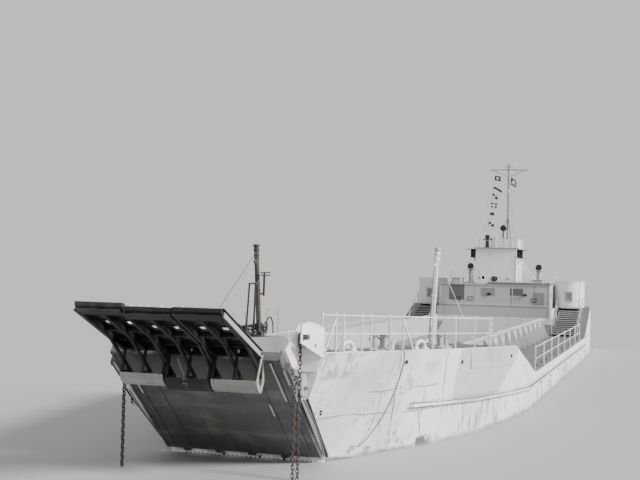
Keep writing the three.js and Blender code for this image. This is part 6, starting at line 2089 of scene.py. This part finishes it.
def dressSteps():
    bm, strings = bmesh.new(), bmesh.new()
    for k in range(13):
        x = lerp(-18.05, -21.95, k / 12)
        h = sternRise(x) + 0.125
        for y in (4.05, 4.36, 4.67, 4.98):
            addBox(bm, (x - 0.12, y - 0.012 + 0.15, h), (x + 0.12, y + 0.012 + 0.15, h + 0.012))
        addBox(bm, (x + 0.115, 3.97, h - 0.03), (x + 0.15, 5.28, h + 0.016))
    finishPiece(bm, "stepGrips", "greyPaint", both=True)
    for y in (3.86, 5.4):
        posts = [(-18.1, 0.98), (-19.4, 0.98), (-20.7, 0.98), (-22.0, 0.98)]
        for x, high in posts:
            foot = sternRise(x)
            addTube(strings, [(x, y, foot - 0.02), (x, y, foot + high)], 0.026, 8)
            addTurned(strings, (x, y, foot + high - 0.01), (0, 0, 1),
                      [(0.028, 0), (0.036, 0.015), (0.012, 0.04)], 10)
        for up in (0.5, 0.96):
            addTube(strings, [(x, y, sternRise(x) + up) for x, _ in posts], 0.013, 6)
    finishPiece(strings, "stepHandrails", "greyPaint", both=True)


flagCloths = {pattern: makeFlagCloth(pattern) for pattern in ("frame", "quarters", "cross", "plain")}
dressWindows()
dressHouseTrim()
dressHouseBolts()
dressRoofFront()
dressRoofLockers()
dressRoofRails()
dressDoorway("deckhouseDoor", -26.2, 2.1, 0.72, 3.0, 4.36, "deckhouse_door")
dressDoorway("wheelhouseDoor", -22.9, 0.0, 0.72, 4.52, 6.3, "wheelhouse_door")
dressScuttles()
dressWheelhousePlates()
dressWheelhouseBolts()
dressSideLamps()
dressBridgeSteps()
dressBridgeEdge()
dressBridgeScreen()
dressBridgeRail()
dressBridgeFittings()
dressSignalLamp()
dressVents()
dressFunnel()
rigMast()
makeFlags()
dressTubs()
dressSteps()
print("deckhouse, bridge and mast dressed")

# poop deck and stern gear

kedge = {"x": -27.4, "h": 3.4, "half": 0.62, "drum": 0.22, "turns": 22.0, "wire": 0.017}


def dressWinch():
    k = kedge
    sizes = {"Turns": k["turns"], "Inner": (k["drum"] + k["wire"]) * modelScale,
             "Outer": (k["drum"] + k["wire"] * 1.02) * modelScale,
             "Rise": (2 * k["half"] - 0.2) * modelScale, "Wire": k["wire"] * modelScale}
    path = pathObject("winchMiddle", [[(k["x"], -k["half"] + 0.1, k["h"]),
                                       (k["x"], -k["half"] + 0.1, k["h"] + 0.0001)]], [(0.0, 1.0, 0.0)])
    path.data.clear_geometry()
    path.data.from_pydata([at(k["x"], -k["half"] + 0.1, k["h"])], [], [])
    path.data.attributes.new("facing", "FLOAT_VECTOR", "POINT").data[0].vector = (0.0, 1.0, 0.0)
    grow(coil, path, sizes, "kedgeWire", "darkSteel", "winch_drum")
    bm = bmesh.new()
    for side in (1, -1):
        y = side * (k["half"] + 0.185)
        addTurned(bm, (k["x"], y, k["h"]), (0, side, 0),
                  [(0.1, 0), (0.14, 0.02), (0.11, 0.12), (0.11, 0.2), (0.15, 0.3), (0.12, 0.33),
                   (0.04, 0.34)], 18)
        for n in range(6):
            t = n * math.pi / 3
            spot = (k["x"] + 0.26 * math.cos(t), side * (k["half"] - 0.03), k["h"] + 0.26 * math.sin(t))
            addTurned(bm, spot, (0, side, 0), [(0.022, 0), (0.022, 0.012), (0.01, 0.018)], 6)
    finishPiece(bm, "winchWarpingHeads", "darkSteel", "winch_drum", bevel=0.002)
    bed = bmesh.new()
    for side in (1, -1):
        for x in (-27.82, -27.02):
            addTurned(bed, (x, side * 0.6, 3.0), (0, 0, 1), [(0.04, 0), (0.04, 0.02), (0.018, 0.03)], 6)
        addTurned(bed, (k["x"], side * (k["half"] + 0.12), k["h"]), (0, side, 0),
                  [(0.1, 0), (0.1, 0.02), (0.075, 0.03), (0.075, 0.04)], 16)
    addBox(bed, (-26.96, -0.4, 3.0), (-26.7, 0.4, 3.34))
    addBox(bed, (-27.0, -0.44, 3.34), (-26.66, 0.44, 3.38))
    addTube(bed, [(-26.78, 0.48, 3.2), (-26.78, 0.6, 3.2), (-26.78, 0.62, 3.46)], 0.016, 8)
    finishPiece(bed, "winchBedFittings", "greyPaint", bevel=0.004)


def dressAnchor():
    bm, fluke = bmesh.new(), bmesh.new()
    x, y, crown = -28.635, 2.4, 1.55
    addRing(bm, (x, y, 3.12), (0, 1, 0), 0.09, 0.026, 18, 8)
    addTurned(bm, (x, y, crown - 0.04), (0, 0, 1), [(0.06, -0.03), (0.085, 0), (0.085, 0.08), (0.055, 0.14)],
              12)
    for side in (1, -1):
        foot = Vector((x, y + side * 0.46, crown + 0.22))
        tip = Vector((x, y + side * 0.66, crown + 0.6))
        wide = Vector((0.13, 0, 0))
        addPlate(fluke,
                 [foot - wide * 0.5, foot + wide * 0.5, (foot + tip) / 2 + wide, tip,
                  (foot + tip) / 2 - wide],
                 Vector((0, -side * 0.02, 0.012)))
    addTurned(bm, (x, y - 0.66, 2.88), (0, -1, 0), [(0.03, -0.03), (0.055, 0.01), (0.03, 0.05)], 12)
    addTurned(bm, (x, y + 0.66, 2.88), (0, 1, 0), [(0.03, -0.03), (0.055, 0.01), (0.03, 0.05)], 12)
    finishPiece(bm, "anchorFittings", "darkSteel")
    finishPiece(fluke, "anchorFlukes", "darkSteel", bevel=0.004)
    rollers = bmesh.new()
    for side in (1, -1):
        addPlate(rollers, [(-28.6, y + side * 0.24, 3.0), (-28.2, y + side * 0.24, 3.0),
                           (-28.28, y + side * 0.24, 3.22), (-28.56, y + side * 0.24, 3.22)],
                           (0, side * 0.03, 0))
    addTurned(rollers, (-28.42, y - 0.24, 3.14), (0, 1, 0),
              [(0.035, -0.05), (0.035, 0), (0.075, 0.02), (0.055, 0.24), (0.075, 0.46), (0.035, 0.48),
               (0.035, 0.53)], 16)
    addTube(rollers, [(-28.63, y, 3.2), (-28.42, y, 3.225), (-27.62, 0.5, 3.2)], 0.016, 8)
    finishPiece(rollers, "anchorRollers", "darkSteel", bevel=0.003)


def dressPoop():
    bm, knobs = bmesh.new(), bmesh.new()
    for x, y in ((-24.6, 5.595), (-26.4, 5.465), (-28.385, 5.31), (-28.385, 3.4), (-28.385, 1.7)):
        addTurned(knobs, (x, y, 3.87), (0, 0, 1), railKnob, 10)
        addTurned(bm, (x, y, 2.89), (0, 0, 1), railFoot, 12)
    for x, y in ((-23.9, 5.15), (-27.2, 4.9), (-26.9, 3.1)):
        addTurned(bm, (x, y, 2.9), (0, 0, 1), [(0.13, 0), (0.13, 0.02), (0.06, 0.03), (0.06, 0.22),
                                               (0.12, 0.24), (0.12, 0.29), (0.03, 0.31)], 16)
    for x in (-26.1, -27.6):
        for out in (-0.2, 0.2):
            addTurned(bm, (x + out, 4.95, 2.9), (0, 0, 1),
                      [(0.12, 0), (0.12, 0.03), (0.08, 0.04), (0.08, 0.34), (0.1, 0.36), (0.1, 0.4),
                       (0.03, 0.42)], 16)
        addBox(bm, (x - 0.36, 4.82, 2.895), (x + 0.36, 5.08, 2.93))
    finishPiece(bm, "poopFittings", "toeGrey", both=True, bevel=0.003)
    finishPiece(knobs, "poopRailKnobs", "plainWhite", both=True)


# the engine hatch: dogs, handle and hinge straps on its lid, cleats on its coaming
def dressHatch():
    lid, dogs = bmesh.new(), bmesh.new()
    for x in (-24.9, -24.3):
        addTurned(lid, (x, -4.82, 3.21), (0, 0, 1), [(0.035, 0), (0.035, 0.03), (0.016, 0.04)], 10)
        addBar(lid, (x, -4.82, 3.23), (x, -4.95, 3.23), 0.03, 0.02)
    handle = ((-24.7, 3.205), (-24.7, 3.27), (-24.5, 3.27), (-24.5, 3.205))
    addTube(lid, [(x, -4.62, h) for x, h in handle], 0.014, 8)
    for low, high in ((-4.79, -4.76), (-4.04, -4.01)):
        addBox(lid, (-24.99, low, 3.21), (-24.21, high, 3.222))
    finishPiece(lid, "hatchLidDogs", "greyPaint", "engine_hatch_lid", bevel=0.002)
    for x, out in ((-24.98, -0.04), (-24.22, 0.04)):
        low, high = sorted((x, x + out))
        for y in (-4.6, -4.2):
            addBox(dogs, (low, y - 0.03, 2.98), (high, y + 0.03, 3.12))
    finishPiece(dogs, "hatchCleats", "greyPaint", bevel=0.003)


# lockers on the poop deck, behind the deckhouse
def dressPoopLockers():
    lockers = bmesh.new()
    for x, y in ((-26.62, 3.9), (-26.62, -3.5)):
        addBox(lockers, (x - 0.25, y - 0.45, 2.901), (x + 0.25, y + 0.45, 3.36))
        addBox(lockers, (x - 0.28, y - 0.48, 3.36), (x + 0.28, y + 0.48, 3.4))
        for out in (-0.3, 0.3):
            addBox(lockers, (x - 0.3, y + out - 0.03, 3.3), (x - 0.28, y + out + 0.03, 3.39))
    finishPiece(lockers, "poopLockers", "greyPaint", bevel=0.012)


# a cap on each propeller's hub, and bolts round its stern tube
def dressPropellers():
    for name, side in (("port", 1), ("stbd", -1)):
        bm = bmesh.new()
        x, y, h = -25.2, 2.1 * side, 0.62 - waterline
        addTurned(bm, (x - 0.1, y, h), (-1, 0, 0), [(0.085, 0), (0.09, 0.03), (0.07, 0.1), (0.03, 0.16)], 16)
        addTurned(bm, (x - 0.1, y, h), (-1, 0, 0), [(0.055, 0.13), (0.055, 0.17), (0.02, 0.18)], 6)
        finishPiece(bm, "propellerCap." + name, "bronze", "propeller_" + name, bevel=0.002)
        studs = bmesh.new()
        for k in range(6):
            t = k * math.pi / 3
            addTurned(studs, (-25.0, y + 0.075 * math.cos(t), h + 0.075 * math.sin(t)), (1, 0, 0),
                      [(0.014, -0.01), (0.014, 0.012), (0.006, 0.016)], 6)
        finishPiece(studs, "sternTubeBolts." + name, "darkSteel")


def dressTransom():
    bm, rows = bmesh.new(), []
    for y in (-3.6, -1.8, 0.0, 1.2, 3.6):
        addBox(bm, (-28.548, y - 0.012, 0.35), (-28.53, y + 0.012, 2.86))
    addBox(bm, (-28.548, -5.4, 1.5), (-28.53, 5.4, 1.524))
    addBox(bm, (-28.58, -5.42, 2.8), (-28.53, 5.42, 2.9))
    finishPiece(bm, "transomSeams", "hullPaint", bevel=0.003)
    for x, h in ((-28.582, 2.85), (-28.552, 0.5)):
        rows.append([(x, -5.2, h), (x, 5.2, h)])
    sizes = scaled(Space=0.3, Head=0.02, High=0.014)
    grow(studRow, pathObject("transomBoltRows", rows, [(-1, 0, 0)] * 2), sizes, "transomBolts", "hullPaint")


dressWinch()
dressAnchor()
dressPoop()
dressHatch()
dressPoopLockers()
dressPropellers()
dressTransom()
print("stern dressed")
